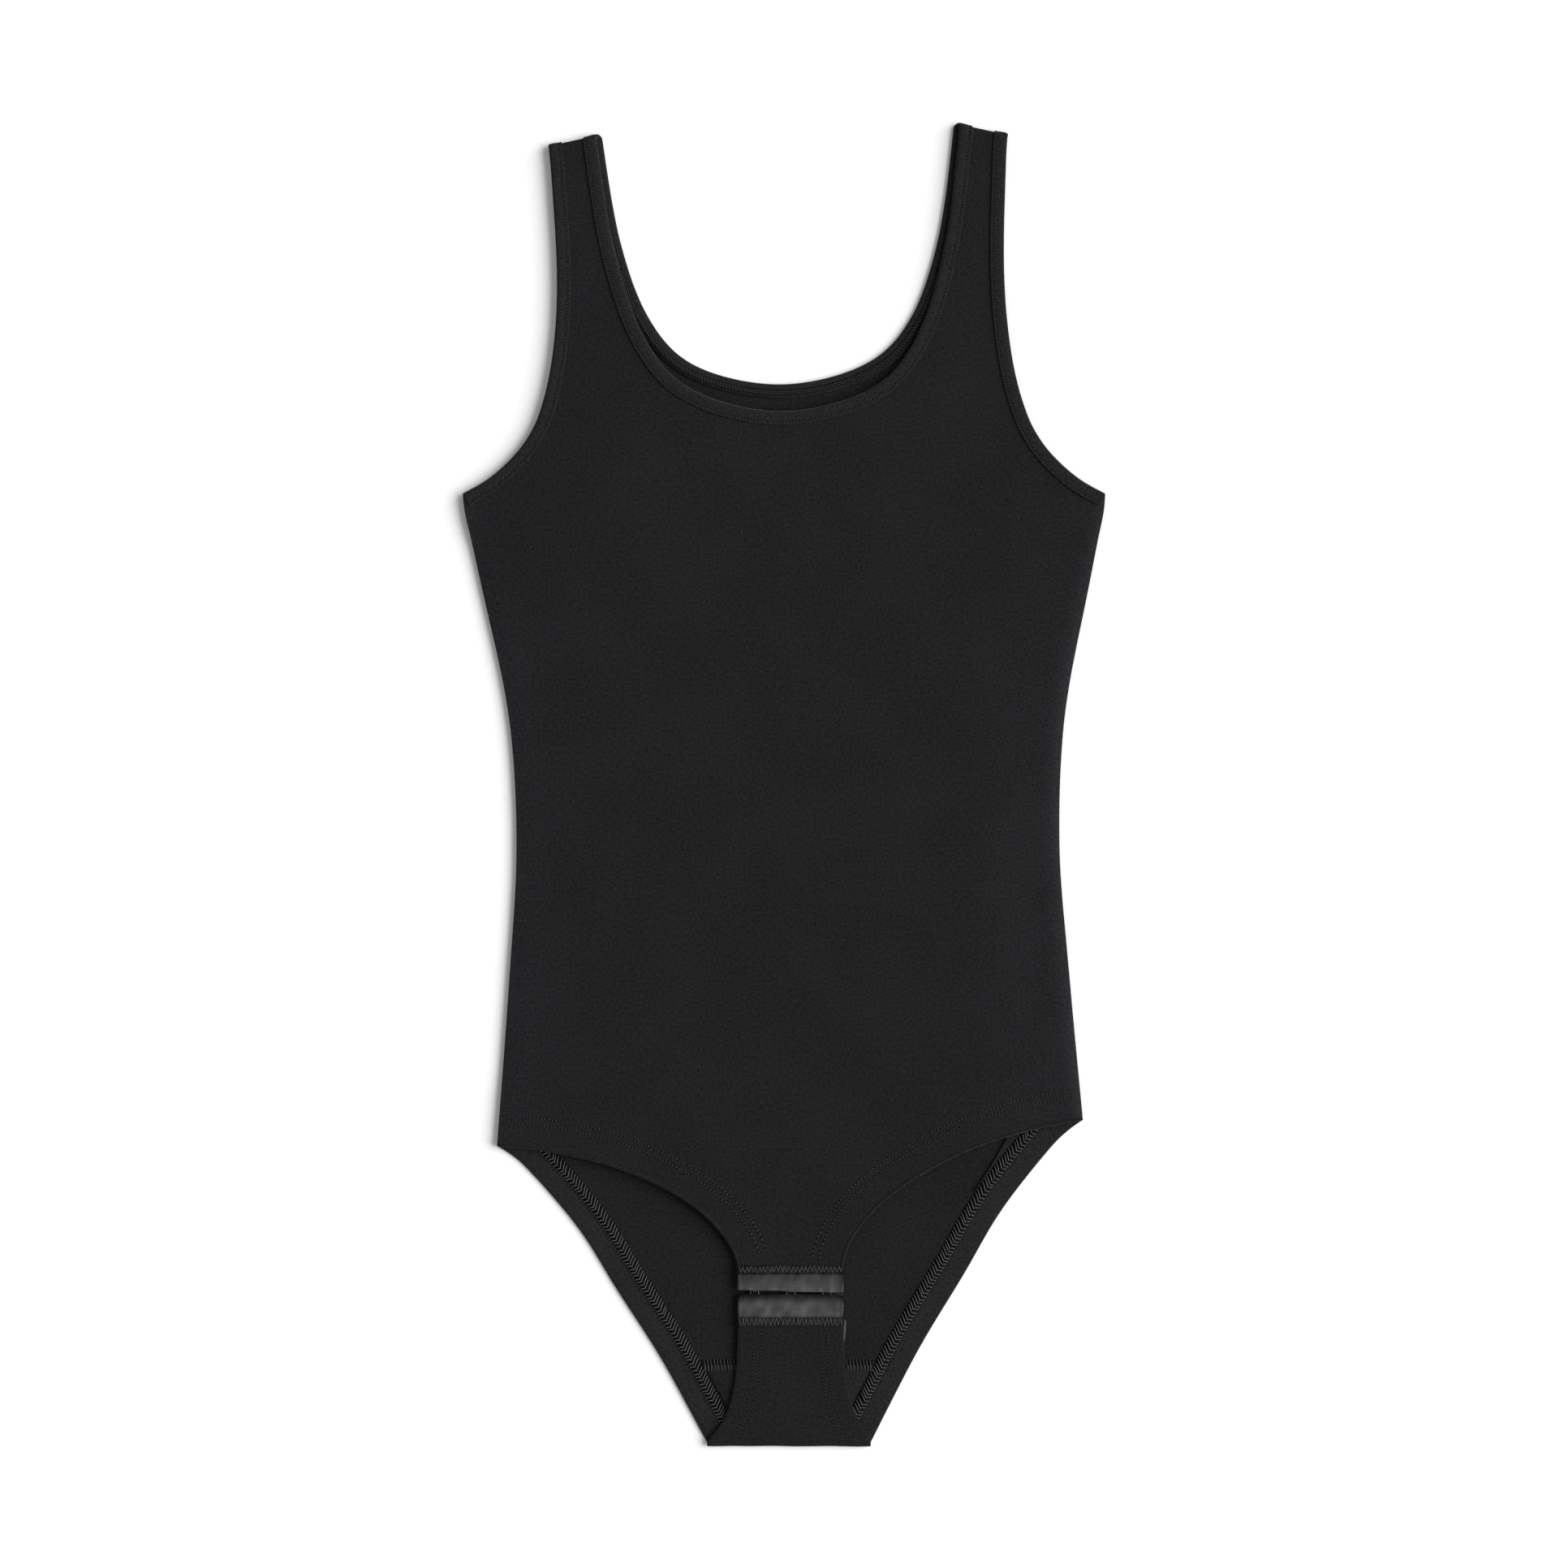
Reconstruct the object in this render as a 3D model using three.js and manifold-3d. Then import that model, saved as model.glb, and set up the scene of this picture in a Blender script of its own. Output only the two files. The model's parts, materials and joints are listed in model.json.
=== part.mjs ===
// A scoop-neck tank leotard laid flat, face up. Sizes are in millimetres. +X is to the right as it lies, +Y is
// towards the shoulders and +Z is up. The origin is on the table, under the middle of the leotard.
import * as THREE from 'three';
import * as BufferGeometryUtils from 'three/addons/utils/BufferGeometryUtils.js';
import Module from 'manifold-3d';

const wasm = await Module();
wasm.setup();

// Cloth
const JERSEY = 0.8;
const LINING = 0.5;
const SATIN = 0.5;
const BINDING_WALL = 0.6;
const BINDING_WIDTH = 7.3;
const GAP = 0.3;

// Half widths of the body, laid flat
const HALF_CHEST = 170;
const HALF_WAIST = 143;
const HALF_HIP = 154.3;
const HALF_FOLD = 43.2;

// Lengths of the body, from the shoulders down to the crotch fold
const STRAP_RISE = 193.5;
const ARMPIT_TO_WAIST = 184.5;
const WAIST_TO_HIP = 152;
const HIP_TO_FOLD = 165;

// Straps and neckline
const STRAP_OUTER = 121;
const STRAP_WIDTH = 28;
const SHOULDER_DROP = 6;
const SHOULDER_SEAM = 3;
const FRONT_NECK_DROP = 150;
const BACK_NECK_DROP = 135.4;
const STRAP_FOLD_DROP = 74;

// Leg hems, side seams and crotch
const FRONT_HEM = 15;
const BACK_HEM = 17.5;
const GUSSET_HEM = 12;
const SEAM_ALLOWANCE = 6;
const GUSSET_BACK_LENGTH = 42.6;
const GUSSET_SEAM_WIDTH = 5;
const TAPE_TO_FOLD = 95.6;
const TAB_LENGTH = 38.4;

// Hook-and-eye closure
const TAPE_WIDTH = 56;
const HOOK_TAPE_DEPTH = 13.7;
const EYE_TAPE_DEPTH = 16.3;
const TAPE_SPACE = 1.7;
const TAPE_MARGIN = 0.4;
const HOOK_PITCH = 19;
const WIRE = 0.7;
const EYE_WIDTH = 4.6;
const HOOK_WIDTH = 1.7;
const HOOK_POCKET = 2.6;
const EYE_INSET = 1.2;
const EYE_LEG = 8.6;
const EYE_CORNER = 1.2;

// How unevenly it lies: the right side is higher at the shoulder and the hip, and the middle leans to the left
const SHOULDER_LIFT = 3;
const HIP_LIFT = 6.85;
const LEAN = 6.8;

// Levels along the length, with the origin in the middle
const LENGTH = STRAP_RISE + ARMPIT_TO_WAIST + WAIST_TO_HIP + HIP_TO_FOLD;
const FOLD_Y = -(LENGTH + SHOULDER_LIFT) / 2;
const HIP_Y = FOLD_Y + HIP_TO_FOLD;
const WAIST_Y = HIP_Y + WAIST_TO_HIP;
const ARMPIT_Y = WAIST_Y + ARMPIT_TO_WAIST;
const SHOULDER_Y = ARMPIT_Y + STRAP_RISE;
const FRONT_NECK_Y = SHOULDER_Y - FRONT_NECK_DROP;
const BACK_NECK_Y = SHOULDER_Y - BACK_NECK_DROP;
const STRAP_FOLD_Y = SHOULDER_Y - STRAP_FOLD_DROP;
const GUSSET_SEAM_Y = FOLD_Y + GUSSET_BACK_LENGTH;
const HOOK_TAPE_TOP = FOLD_Y + TAPE_TO_FOLD;
const TAB_FOLD_Y = HOOK_TAPE_TOP + TAB_LENGTH;

// Heights of the cloth above the table
const BACK_RISE = BINDING_WALL + GAP;
const BINDING_THICK = 2 * BINDING_WALL + 2 * GAP + JERSEY;
const FRONT_PUFF = 2.1;
const PUFF_RUN = 40;
const FLAT_EDGE = 10;
const FOLD_RADIUS = (3 * JERSEY + 3 * GAP + LINING) / 2;
const GUSSET_FRONT_Z = 2 * FOLD_RADIUS - JERSEY;
const GUSSET_INNER_Z = GUSSET_FRONT_Z - GAP - LINING;
const BINDING_CLEARANCE = 0.4;
const HOOK_PLAY = 0.2;
const FRONT_EDGE_Z = Math.max(BACK_RISE + BINDING_THICK + BINDING_CLEARANCE, GUSSET_FRONT_Z + WIRE + HOOK_PLAY);
const NECK_RUN = 60;
const CROTCH_RUN = 50;
const BACK_RISE_RUN = 35;

const GRID = 18;
const CURVE_STEPS = 22;
const TALL = 60;

const black = new THREE.MeshStandardMaterial({ color: 0x1f1f21, roughness: 0.95, metalness: 0 });
const bindingBlack = new THREE.MeshStandardMaterial({ color: 0x28282a, roughness: 0.9, metalness: 0 });
const satinGrey = new THREE.MeshStandardMaterial({ color: 0x434346, roughness: 0.5, metalness: 0 });
const steel = new THREE.MeshStandardMaterial({ color: 0x8c8c90, roughness: 0.3, metalness: 1 });

// Turns a profile drawn as (y, z), and extruded, so that it is extruded along X
const SIDE_VIEW = new THREE.Matrix4().makeBasis(
  new THREE.Vector3(0, 1, 0),
  new THREE.Vector3(0, 0, 1),
  new THREE.Vector3(1, 0, 0),
);

const leotard = new THREE.Group();

// Outlines. Each point is a half width and a height on the pattern; side is 1 at the right and -1 at the left.

// The middle line's distance to the right of the chest's middle
function leanAt(y) {
  const lengthShare = (level) => (level - FOLD_Y) / (SHOULDER_Y - FOLD_Y);
  return LEAN * (lengthShare(ARMPIT_Y) ** 2 - lengthShare(y) ** 2);
}

function layPoint(side, halfWidth, y, lift) {
  return new THREE.Vector2(side * halfWidth + leanAt(y), y + side * lift);
}

function layCurve(side, pattern, liftAt) {
  const points = pattern.map(([halfWidth, y]) => layPoint(side, halfWidth, y, liftAt(halfWidth, y)));
  return new THREE.SplineCurve(points).getSpacedPoints(CURVE_STEPS);
}

function smooth(t) {
  return THREE.MathUtils.smoothstep(t, 0, 1);
}

function shoulderLift(halfWidth, y) {
  return SHOULDER_LIFT * smooth((y - ARMPIT_Y) / (SHOULDER_Y - ARMPIT_Y));
}

function hipLift(halfWidth, y) {
  return HIP_LIFT * smooth((WAIST_Y - y) / (WAIST_Y - HIP_Y)) * (halfWidth / HALF_HIP);
}

function armhole(side) {
  const inFromArmpit = HALF_CHEST - STRAP_OUTER;
  const height = SHOULDER_Y - ARMPIT_Y;
  const pattern = [
    [STRAP_OUTER, SHOULDER_Y],
    [STRAP_OUTER - 3.3, ARMPIT_Y + 0.62 * height],
    [STRAP_OUTER, ARMPIT_Y + 0.375 * height],
    [STRAP_OUTER + 0.18 * inFromArmpit, ARMPIT_Y + 0.2 * height],
    [STRAP_OUTER + 0.42 * inFromArmpit, ARMPIT_Y + 0.107 * height],
    [STRAP_OUTER + 0.78 * inFromArmpit, ARMPIT_Y + 0.028 * height],
    [HALF_CHEST, ARMPIT_Y],
  ];
  return layCurve(side, pattern, shoulderLift);
}

function sideEdge(side) {
  const chestDrop = ARMPIT_Y - WAIST_Y;
  const hipDrop = WAIST_Y - HIP_Y;
  const pattern = [
    [HALF_CHEST, ARMPIT_Y],
    [HALF_WAIST + 0.64 * (HALF_CHEST - HALF_WAIST), WAIST_Y + 0.745 * chestDrop],
    [HALF_WAIST + 0.13 * (HALF_CHEST - HALF_WAIST), WAIST_Y + 0.37 * chestDrop],
    [HALF_WAIST, WAIST_Y],
    [HALF_WAIST + 0.39 * (HALF_HIP - HALF_WAIST), WAIST_Y - 0.45 * hipDrop],
    [HALF_HIP, HIP_Y],
  ];
  return layCurve(side, pattern, hipLift);
}

function neckline(bottomY, inset) {
  const strapInner = STRAP_OUTER - STRAP_WIDTH - inset;
  const height = SHOULDER_Y - bottomY;
  const half = [
    [strapInner, SHOULDER_Y],
    [0.905 * strapInner, bottomY + 0.575 * height],
    [0.74 * strapInner, bottomY + 0.255 * height],
    [0.48 * strapInner, bottomY + 0.075 * height],
  ];
  const place = (side) => half.map(([halfWidth, y]) => layPoint(side, halfWidth, y, shoulderLift(halfWidth, y)));
  const points = [...place(-1), layPoint(1, 0, bottomY, 0), ...place(1).reverse()];
  return new THREE.SplineCurve(points).getSpacedPoints(2 * CURVE_STEPS);
}

function frontLeg(side) {
  const halfTape = TAPE_WIDTH / 2;
  const reach = HALF_HIP - halfTape;
  const drop = HIP_Y - HOOK_TAPE_TOP;
  const pattern = [
    [HALF_HIP, HIP_Y],
    [halfTape + 0.79 * reach, HIP_Y - 0.055 * drop],
    [halfTape + 0.55 * reach, HIP_Y - 0.17 * drop],
    [halfTape + 0.31 * reach, HIP_Y - 0.37 * drop],
    [halfTape + 0.135 * reach, HIP_Y - 0.6 * drop],
    [halfTape + 0.03 * reach, HIP_Y - 0.84 * drop],
    [halfTape, HOOK_TAPE_TOP],
  ];
  return layCurve(side, pattern, hipLift);
}

function backLeg(side) {
  const reach = HALF_HIP - HALF_FOLD;
  const drop = HIP_Y - FOLD_Y;
  const pattern = [
    [HALF_HIP, HIP_Y],
    [HALF_FOLD + 0.88 * reach, HIP_Y - 0.06 * drop],
    [HALF_FOLD + 0.62 * reach, HIP_Y - 0.27 * drop],
    [HALF_FOLD + 0.43 * reach, HIP_Y - 0.48 * drop],
    [HALF_FOLD + 0.235 * reach, HIP_Y - 0.69 * drop],
    [HALF_FOLD + 0.075 * reach, HIP_Y - 0.89 * drop],
    [HALF_FOLD, FOLD_Y + FOLD_RADIUS],
  ];
  return layCurve(side, pattern, hipLift);
}

// Moves a line of points sideways into the cloth. The cloth is on the right-hand side where hand is 1.
function insetLine(points, distance, hand) {
  return points.map((point, i) => {
    const before = points[Math.max(i - 1, 0)];
    const after = points[Math.min(i + 1, points.length - 1)];
    const along = after.clone().sub(before).normalize();
    return new THREE.Vector2(point.x + hand * distance * along.y, point.y - hand * distance * along.x);
  });
}

function bodyOutline(neck, leg) {
  const edge = BINDING_WALL + GAP;
  const right = [...insetLine(armhole(1), edge, 1), ...sideEdge(1).slice(1), ...leg(1).slice(1)];
  const left = [...insetLine(armhole(-1), edge, -1), ...sideEdge(-1).slice(1), ...leg(-1).slice(1)];
  return [...insetLine(neck, edge, 1), ...right, ...left.reverse()];
}

// Solids

function toSolid(geometry) {
  const bare = geometry.clone();
  bare.deleteAttribute('normal');
  bare.deleteAttribute('uv');
  const merged = BufferGeometryUtils.mergeVertices(bare, 1e-5);
  const mesh = new wasm.Mesh({
    numProp: 3,
    vertProperties: new Float32Array(merged.attributes.position.array),
    triVerts: new Uint32Array(merged.index.array),
  });
  return new wasm.Manifold(mesh);
}

function toGeometry(solid) {
  const mesh = solid.getMesh();
  const geometry = new THREE.BufferGeometry();
  geometry.setAttribute('position', new THREE.BufferAttribute(new Float32Array(mesh.vertProperties), 3));
  geometry.setIndex(new THREE.BufferAttribute(new Uint32Array(mesh.triVerts), 1));
  return geometry;
}

function add(name, solid, material) {
  const mesh = new THREE.Mesh(toGeometry(solid), material.clone());
  mesh.name = name;
  leotard.add(mesh);
}

function prism(points, low, high) {
  const settings = { depth: high - low, bevelEnabled: false };
  return toSolid(new THREE.ExtrudeGeometry(new THREE.Shape(points), settings).translate(0, 0, low));
}

function box(xLow, xHigh, yLow, yHigh, zLow = -TALL, zHigh = TALL) {
  const size = new THREE.BoxGeometry(xHigh - xLow, yHigh - yLow, zHigh - zLow);
  return toSolid(size.translate((xLow + xHigh) / 2, (yLow + yHigh) / 2, (zLow + zHigh) / 2));
}

// A sheet of cloth over the whole table, from low to high above the height function
function slab(heightAt, low, high, columns = Math.ceil((2 * HALF_CHEST) / GRID)) {
  const halfX = HALF_CHEST + GRID;
  const halfY = Math.max(SHOULDER_Y, -FOLD_Y) + GRID;
  const rows = Math.ceil((2 * halfY) / GRID);
  const positions = [];
  for (const offset of [low, high]) {
    for (let row = 0; row <= rows; row += 1) {
      for (let column = 0; column <= columns; column += 1) {
        const x = -halfX + (2 * halfX * column) / columns;
        const y = -halfY + (2 * halfY * row) / rows;
        positions.push(x, y, heightAt(x, y) + offset);
      }
    }
  }
  const at = (layer, row, column) => layer * (rows + 1) * (columns + 1) + row * (columns + 1) + column;
  const faces = [];
  const quad = (a, b, c, d) => faces.push(a, b, c, a, c, d);
  for (let row = 0; row < rows; row += 1) {
    for (let column = 0; column < columns; column += 1) {
      quad(at(1, row, column), at(1, row, column + 1), at(1, row + 1, column + 1), at(1, row + 1, column));
      quad(at(0, row + 1, column), at(0, row + 1, column + 1), at(0, row, column + 1), at(0, row, column));
    }
  }
  for (let column = 0; column < columns; column += 1) {
    quad(at(0, 0, column), at(0, 0, column + 1), at(1, 0, column + 1), at(1, 0, column));
    quad(at(1, rows, column), at(1, rows, column + 1), at(0, rows, column + 1), at(0, rows, column));
  }
  for (let row = 0; row < rows; row += 1) {
    quad(at(1, row, 0), at(1, row + 1, 0), at(0, row + 1, 0), at(0, row, 0));
    quad(at(0, row, columns), at(0, row + 1, columns), at(1, row + 1, columns), at(1, row, columns));
  }
  const geometry = new THREE.BufferGeometry();
  geometry.setAttribute('position', new THREE.Float32BufferAttribute(positions, 3));
  geometry.setIndex(faces);
  return toSolid(geometry);
}

// A folded binding: a U section that holds the cloth's edge, swept along the finished edge
function binding(points, hand, heightAt) {
  const low = -GAP - BINDING_WALL;
  const high = JERSEY + GAP + BINDING_WALL;
  const section = [
    [0, low],
    [BINDING_WIDTH, low],
    [BINDING_WIDTH, low + BINDING_WALL],
    [BINDING_WALL, low + BINDING_WALL],
    [BINDING_WALL, high - BINDING_WALL],
    [BINDING_WIDTH, high - BINDING_WALL],
    [BINDING_WIDTH, high],
    [0, high],
  ];
  const lines = section.map(([across]) => insetLine(points, across, hand));
  const positions = [];
  points.forEach((point, i) => {
    section.forEach(([, up], j) => {
      positions.push(lines[j][i].x, lines[j][i].y, heightAt(point.x, point.y) + up);
    });
  });
  const count = section.length;
  const faces = [];
  const triangle = (a, b, c) => faces.push(...(hand > 0 ? [c, b, a] : [a, b, c]));
  for (let i = 0; i < points.length - 1; i += 1) {
    for (let j = 0; j < count; j += 1) {
      const here = i * count + j;
      const beside = i * count + ((j + 1) % count);
      triangle(here, beside, beside + count);
      triangle(here, beside + count, here + count);
    }
  }
  const flat = section.map(([across, up]) => new THREE.Vector2(across, up));
  const last = (points.length - 1) * count;
  for (const [a, b, c] of THREE.ShapeUtils.triangulateShape(flat, [])) {
    triangle(c, b, a);
    triangle(last + a, last + b, last + c);
  }
  const geometry = new THREE.BufferGeometry();
  geometry.setAttribute('position', new THREE.Float32BufferAttribute(positions, 3));
  geometry.setIndex(faces);
  return toSolid(geometry);
}

// Heights of the undersides of the two panels

const sideLines = [-1, 1].map((side) => [...armhole(side), ...sideEdge(side)]);

function fromSide(x, y) {
  const here = new THREE.Vector2(x, y);
  const nearest = Math.min(...sideLines.flat().map((point) => point.distanceTo(here)));
  const outline = sideLines[x < 0 ? 0 : 1];
  const level = outline.reduce((best, point) => (Math.abs(point.y - y) < Math.abs(best.y - y) ? point : best));
  return Math.abs(x) < Math.abs(level.x) ? nearest : 0;
}

function backHeight(x, y) {
  const flatFrom = ARMPIT_Y - BINDING_WIDTH - FLAT_EDGE - BACK_RISE_RUN;
  return BACK_RISE * smooth((y - flatFrom) / BACK_RISE_RUN);
}

function frontHeight(x, y) {
  const side = smooth((fromSide(x, y) - FLAT_EDGE) / PUFF_RUN);
  const neck = smooth((FRONT_NECK_Y + NECK_RUN - y) / NECK_RUN);
  const crotch = smooth((y - HOOK_TAPE_TOP) / CROTCH_RUN);
  return FRONT_EDGE_Z + FRONT_PUFF * side * neck * crotch;
}

// Regions that split a whole cloth piece into the body, the straps and the front tab

const JOINT_GAP = GAP / 2;
const WIDE = HALF_CHEST + 2 * GRID;
const torsoRegion = box(-WIDE, WIDE, TAB_FOLD_Y + JOINT_GAP, STRAP_FOLD_Y - JOINT_GAP);
const backTorsoRegion = box(-WIDE, WIDE, GUSSET_SEAM_Y + JOINT_GAP, STRAP_FOLD_Y - JOINT_GAP);
const tabRegion = box(-WIDE, WIDE, FOLD_Y, TAB_FOLD_Y - JOINT_GAP);

function shoulderLine(side, below) {
  const inner = layPoint(side, STRAP_OUTER - STRAP_WIDTH, SHOULDER_Y - below, SHOULDER_LIFT);
  const outer = layPoint(side, STRAP_OUTER, SHOULDER_Y - SHOULDER_DROP - below, SHOULDER_LIFT);
  return [inner, outer];
}

function strapRegion(side) {
  const [inner, outer] = shoulderLine(side, SHOULDER_SEAM + GAP);
  const slope = outer.clone().sub(inner);
  const low = STRAP_FOLD_Y + JOINT_GAP;
  const innerTop = inner.clone().sub(slope);
  const outerTop = outer.clone().add(slope);
  const corners = [innerTop, outerTop, new THREE.Vector2(outerTop.x, low), new THREE.Vector2(innerTop.x, low)];
  return prism(side > 0 ? corners : corners.reverse(), -TALL, TALL);
}

const sides = [
  { side: -1, label: 'left' },
  { side: 1, label: 'right' },
];

// Front and back panels with their straps

const frontNeck = neckline(FRONT_NECK_Y, -3);
const backNeck = neckline(BACK_NECK_Y, 0);
const frontOutline = bodyOutline(frontNeck, frontLeg);
const backOutline = bodyOutline(backNeck, backLeg);
const tabEnd = HOOK_TAPE_TOP - HOOK_TAPE_DEPTH / 2;

function frontLayer(low, high) {
  return prism(frontOutline, 0, TALL).intersect(slab(frontHeight, low, high));
}

const frontCloth = frontLayer(0, JERSEY);
const backCloth = prism(backOutline, -1, TALL).intersect(slab(backHeight, 0, JERSEY, 1));
add('front_panel', frontCloth.intersect(torsoRegion), black);
add('back_panel', backCloth.intersect(backTorsoRegion), black);

function onFront(shape, low, high) {
  return prism(shape, 0, TALL).intersect(slab(frontHeight, low, high));
}

// Bindings

function addBindings(face, neck, heightAt) {
  const neckBinding = binding(neck, 1, heightAt);
  add(`${face}_neck_binding`, neckBinding.intersect(torsoRegion), bindingBlack);
  for (const { side, label } of sides) {
    const armBinding = binding(armhole(side), side, heightAt);
    const region = strapRegion(side);
    add(`${face}_armhole_binding_${label}`, armBinding.intersect(torsoRegion), bindingBlack);
    add(`strap_${face}_neck_binding_${label}`, neckBinding.intersect(region), bindingBlack);
    add(`strap_${face}_armhole_binding_${label}`, armBinding.intersect(region), bindingBlack);
  }
}

addBindings('front', frontNeck, frontHeight);
addBindings('back', backNeck, backHeight);

// Straps: the parts of both panels above the strap fold, joined by the shoulder seam

for (const { side, label } of sides) {
  const region = strapRegion(side);
  add(`front_strap_${label}`, frontCloth.intersect(region), black);
  add(`back_strap_${label}`, backCloth.intersect(region), black);
  const [innerLow, outerLow] = shoulderLine(side, SHOULDER_SEAM);
  const [innerHigh, outerHigh] = shoulderLine(side, 0);
  const corners = [innerLow, innerHigh, outerHigh, outerLow];
  const top = FRONT_EDGE_Z + JERSEY;
  add(`shoulder_seam_${label}`, prism(corners, BACK_RISE, top), black);
}

// Side seams: the seam allowances, inside, between the panels

for (const { side, label } of sides) {
  const edge = sideEdge(side);
  const allowance = [...edge, ...insetLine(edge, SEAM_ALLOWANCE, side).reverse()];
  const low = HIP_Y + HIP_LIFT + BACK_HEM + FLAT_EDGE;
  const high = ARMPIT_Y - BINDING_WIDTH - 3;
  const seam = prism(allowance, 0, FRONT_EDGE_Z - GAP).intersect(slab(backHeight, JERSEY + GAP, TALL, 1));
  add(`side_seam_${label}`, seam.intersect(box(-WIDE, WIDE, low, high)), black);
}

// Leg hems: turned to the inside, under the front panel and over the back panel

const frontHemGap = GAP + JERSEY;
for (const { side, label } of sides) {
  const front = frontLeg(side);
  const frontBand = [...front, ...insetLine(front, FRONT_HEM, side).reverse()];
  const frontHem = onFront(frontBand, -frontHemGap, -GAP).intersect(prism(frontOutline, 0, TALL));
  add(`front_leg_hem_${label}`, frontHem.intersect(torsoRegion), black);
  add(`tab_hem_${label}`, frontHem.intersect(box(-WIDE, WIDE, HOOK_TAPE_TOP + GAP, TAB_FOLD_Y - JOINT_GAP)), black);
  const back = backLeg(side);
  const backBand = [...back, ...insetLine(back, BACK_HEM, side).reverse()];
  const backHem = prism(backBand, JERSEY + GAP, 2 * JERSEY + GAP).intersect(prism(backOutline, 0, TALL));
  const aboveFold = box(-WIDE, WIDE, FOLD_Y + FOLD_RADIUS, HIP_Y + TALL);
  add(`back_leg_hem_${label}`, backHem.intersect(aboveFold), black);
}

// Gusset: flat seam at the back, the fold at the crotch, and the strip that comes up at the front

const foldAxisY = FOLD_Y + FOLD_RADIUS;
const gussetFrontY = foldAxisY + FOLD_RADIUS + GAP;

function backLegInside(distance) {
  const right = insetLine(backLeg(1), distance, 1);
  const left = insetLine(backLeg(-1), distance, -1);
  return [...right, ...left.reverse()];
}

function addGussetBack() {
  const flat = prism(backOutline, 0, JERSEY).intersect(box(-WIDE, WIDE, foldAxisY, GUSSET_SEAM_Y - JOINT_GAP));
  const outer = FOLD_RADIUS;
  const inner = FOLD_RADIUS - JERSEY;
  const tail = GAP;
  const turn = new THREE.Shape();
  turn.moveTo(tail, -outer);
  turn.lineTo(0, -outer);
  turn.absarc(0, 0, outer, -Math.PI / 2, Math.PI / 2, true);
  turn.lineTo(0, inner);
  turn.absarc(0, 0, inner, Math.PI / 2, -Math.PI / 2, false);
  turn.lineTo(tail, -inner);
  const width = 2 * HALF_FOLD;
  const extruded = new THREE.ExtrudeGeometry(turn, { depth: width, bevelEnabled: false, curveSegments: 8 });
  extruded.applyMatrix4(SIDE_VIEW);
  extruded.translate(leanAt(FOLD_Y) - HALF_FOLD, foldAxisY, FOLD_RADIUS);
  add('gusset_back', flat.add(toSolid(extruded)), black);
  const insideHems = backLegInside(BACK_HEM + 2 * GAP);
  const seamLow = GUSSET_SEAM_Y - GUSSET_SEAM_WIDTH / 2;
  const seamHigh = GUSSET_SEAM_Y + GUSSET_SEAM_WIDTH / 2;
  const seam = prism(insideHems, JERSEY + GAP, 2 * JERSEY + GAP);
  add('gusset_seam', seam.intersect(box(-WIDE, WIDE, seamLow, seamHigh)), black);
  const lining = prism(insideHems, JERSEY + GAP, JERSEY + GAP + LINING);
  add('gusset_lining_back', lining.intersect(box(-WIDE, WIDE, foldAxisY, seamLow - GAP)), bindingBlack);
}

addGussetBack();

// The front stretch of the gusset lies upside down over the back stretch
const halfTape = TAPE_WIDTH / 2;
const eyeTapeTop = HOOK_TAPE_TOP - HOOK_TAPE_DEPTH - TAPE_SPACE;
const eyeTapeLow = eyeTapeTop - EYE_TAPE_DEPTH;
const gussetEnd = eyeTapeTop - EYE_TAPE_DEPTH / 2 + 1;

function gussetSide(side) {
  const spread = HALF_FOLD - halfTape;
  const pattern = [
    [halfTape - TAPE_MARGIN, gussetEnd],
    [halfTape - TAPE_MARGIN, eyeTapeLow],
    [halfTape + 0.09 * spread, eyeTapeLow - 29],
    [halfTape + 0.37 * spread, gussetFrontY + 14],
    [halfTape + 0.8 * spread, gussetFrontY],
  ];
  return new THREE.SplineCurve(pattern.map(([half, y]) => layPoint(side, half, y, 0))).getSpacedPoints(12);
}

function gussetShape(distance) {
  const right = insetLine(gussetSide(1), distance, 1);
  const left = insetLine(gussetSide(-1), distance, -1);
  return [...right, ...left.reverse()];
}

const belowEyeTape = box(-WIDE, WIDE, gussetFrontY, eyeTapeLow - GAP);
add('gusset_front', prism(gussetShape(0), GUSSET_FRONT_Z, GUSSET_FRONT_Z + JERSEY), black);
const frontLining = prism(gussetShape(GUSSET_HEM + GAP), GUSSET_INNER_Z, GUSSET_INNER_Z + LINING);
add('gusset_lining_front', frontLining.intersect(belowEyeTape), bindingBlack);
for (const { side, label } of sides) {
  const edge = gussetSide(side);
  const band = [...edge, ...insetLine(edge, GUSSET_HEM, side).reverse()];
  const hem = prism(band, GUSSET_INNER_Z, GUSSET_INNER_Z + LINING);
  add(`gusset_hem_${label}`, hem.intersect(belowEyeTape), black);
}

// Front tab and its hook tape; the eye tape on the gusset's end

const tapeX = leanAt(HOOK_TAPE_TOP);
const tabTop = [
  ...frontLeg(1),
  new THREE.Vector2(tapeX + halfTape - TAPE_MARGIN, tabEnd),
  new THREE.Vector2(tapeX - halfTape + TAPE_MARGIN, tabEnd),
  ...frontLeg(-1).reverse(),
];
add('front_tab', onFront(tabTop, 0, JERSEY).intersect(tabRegion), black);

function addTape(name, top, depth, low) {
  const tape = box(tapeX - halfTape, tapeX + halfTape, top - depth, top, low, low + SATIN);
  add(name, tape, satinGrey);
}

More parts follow.
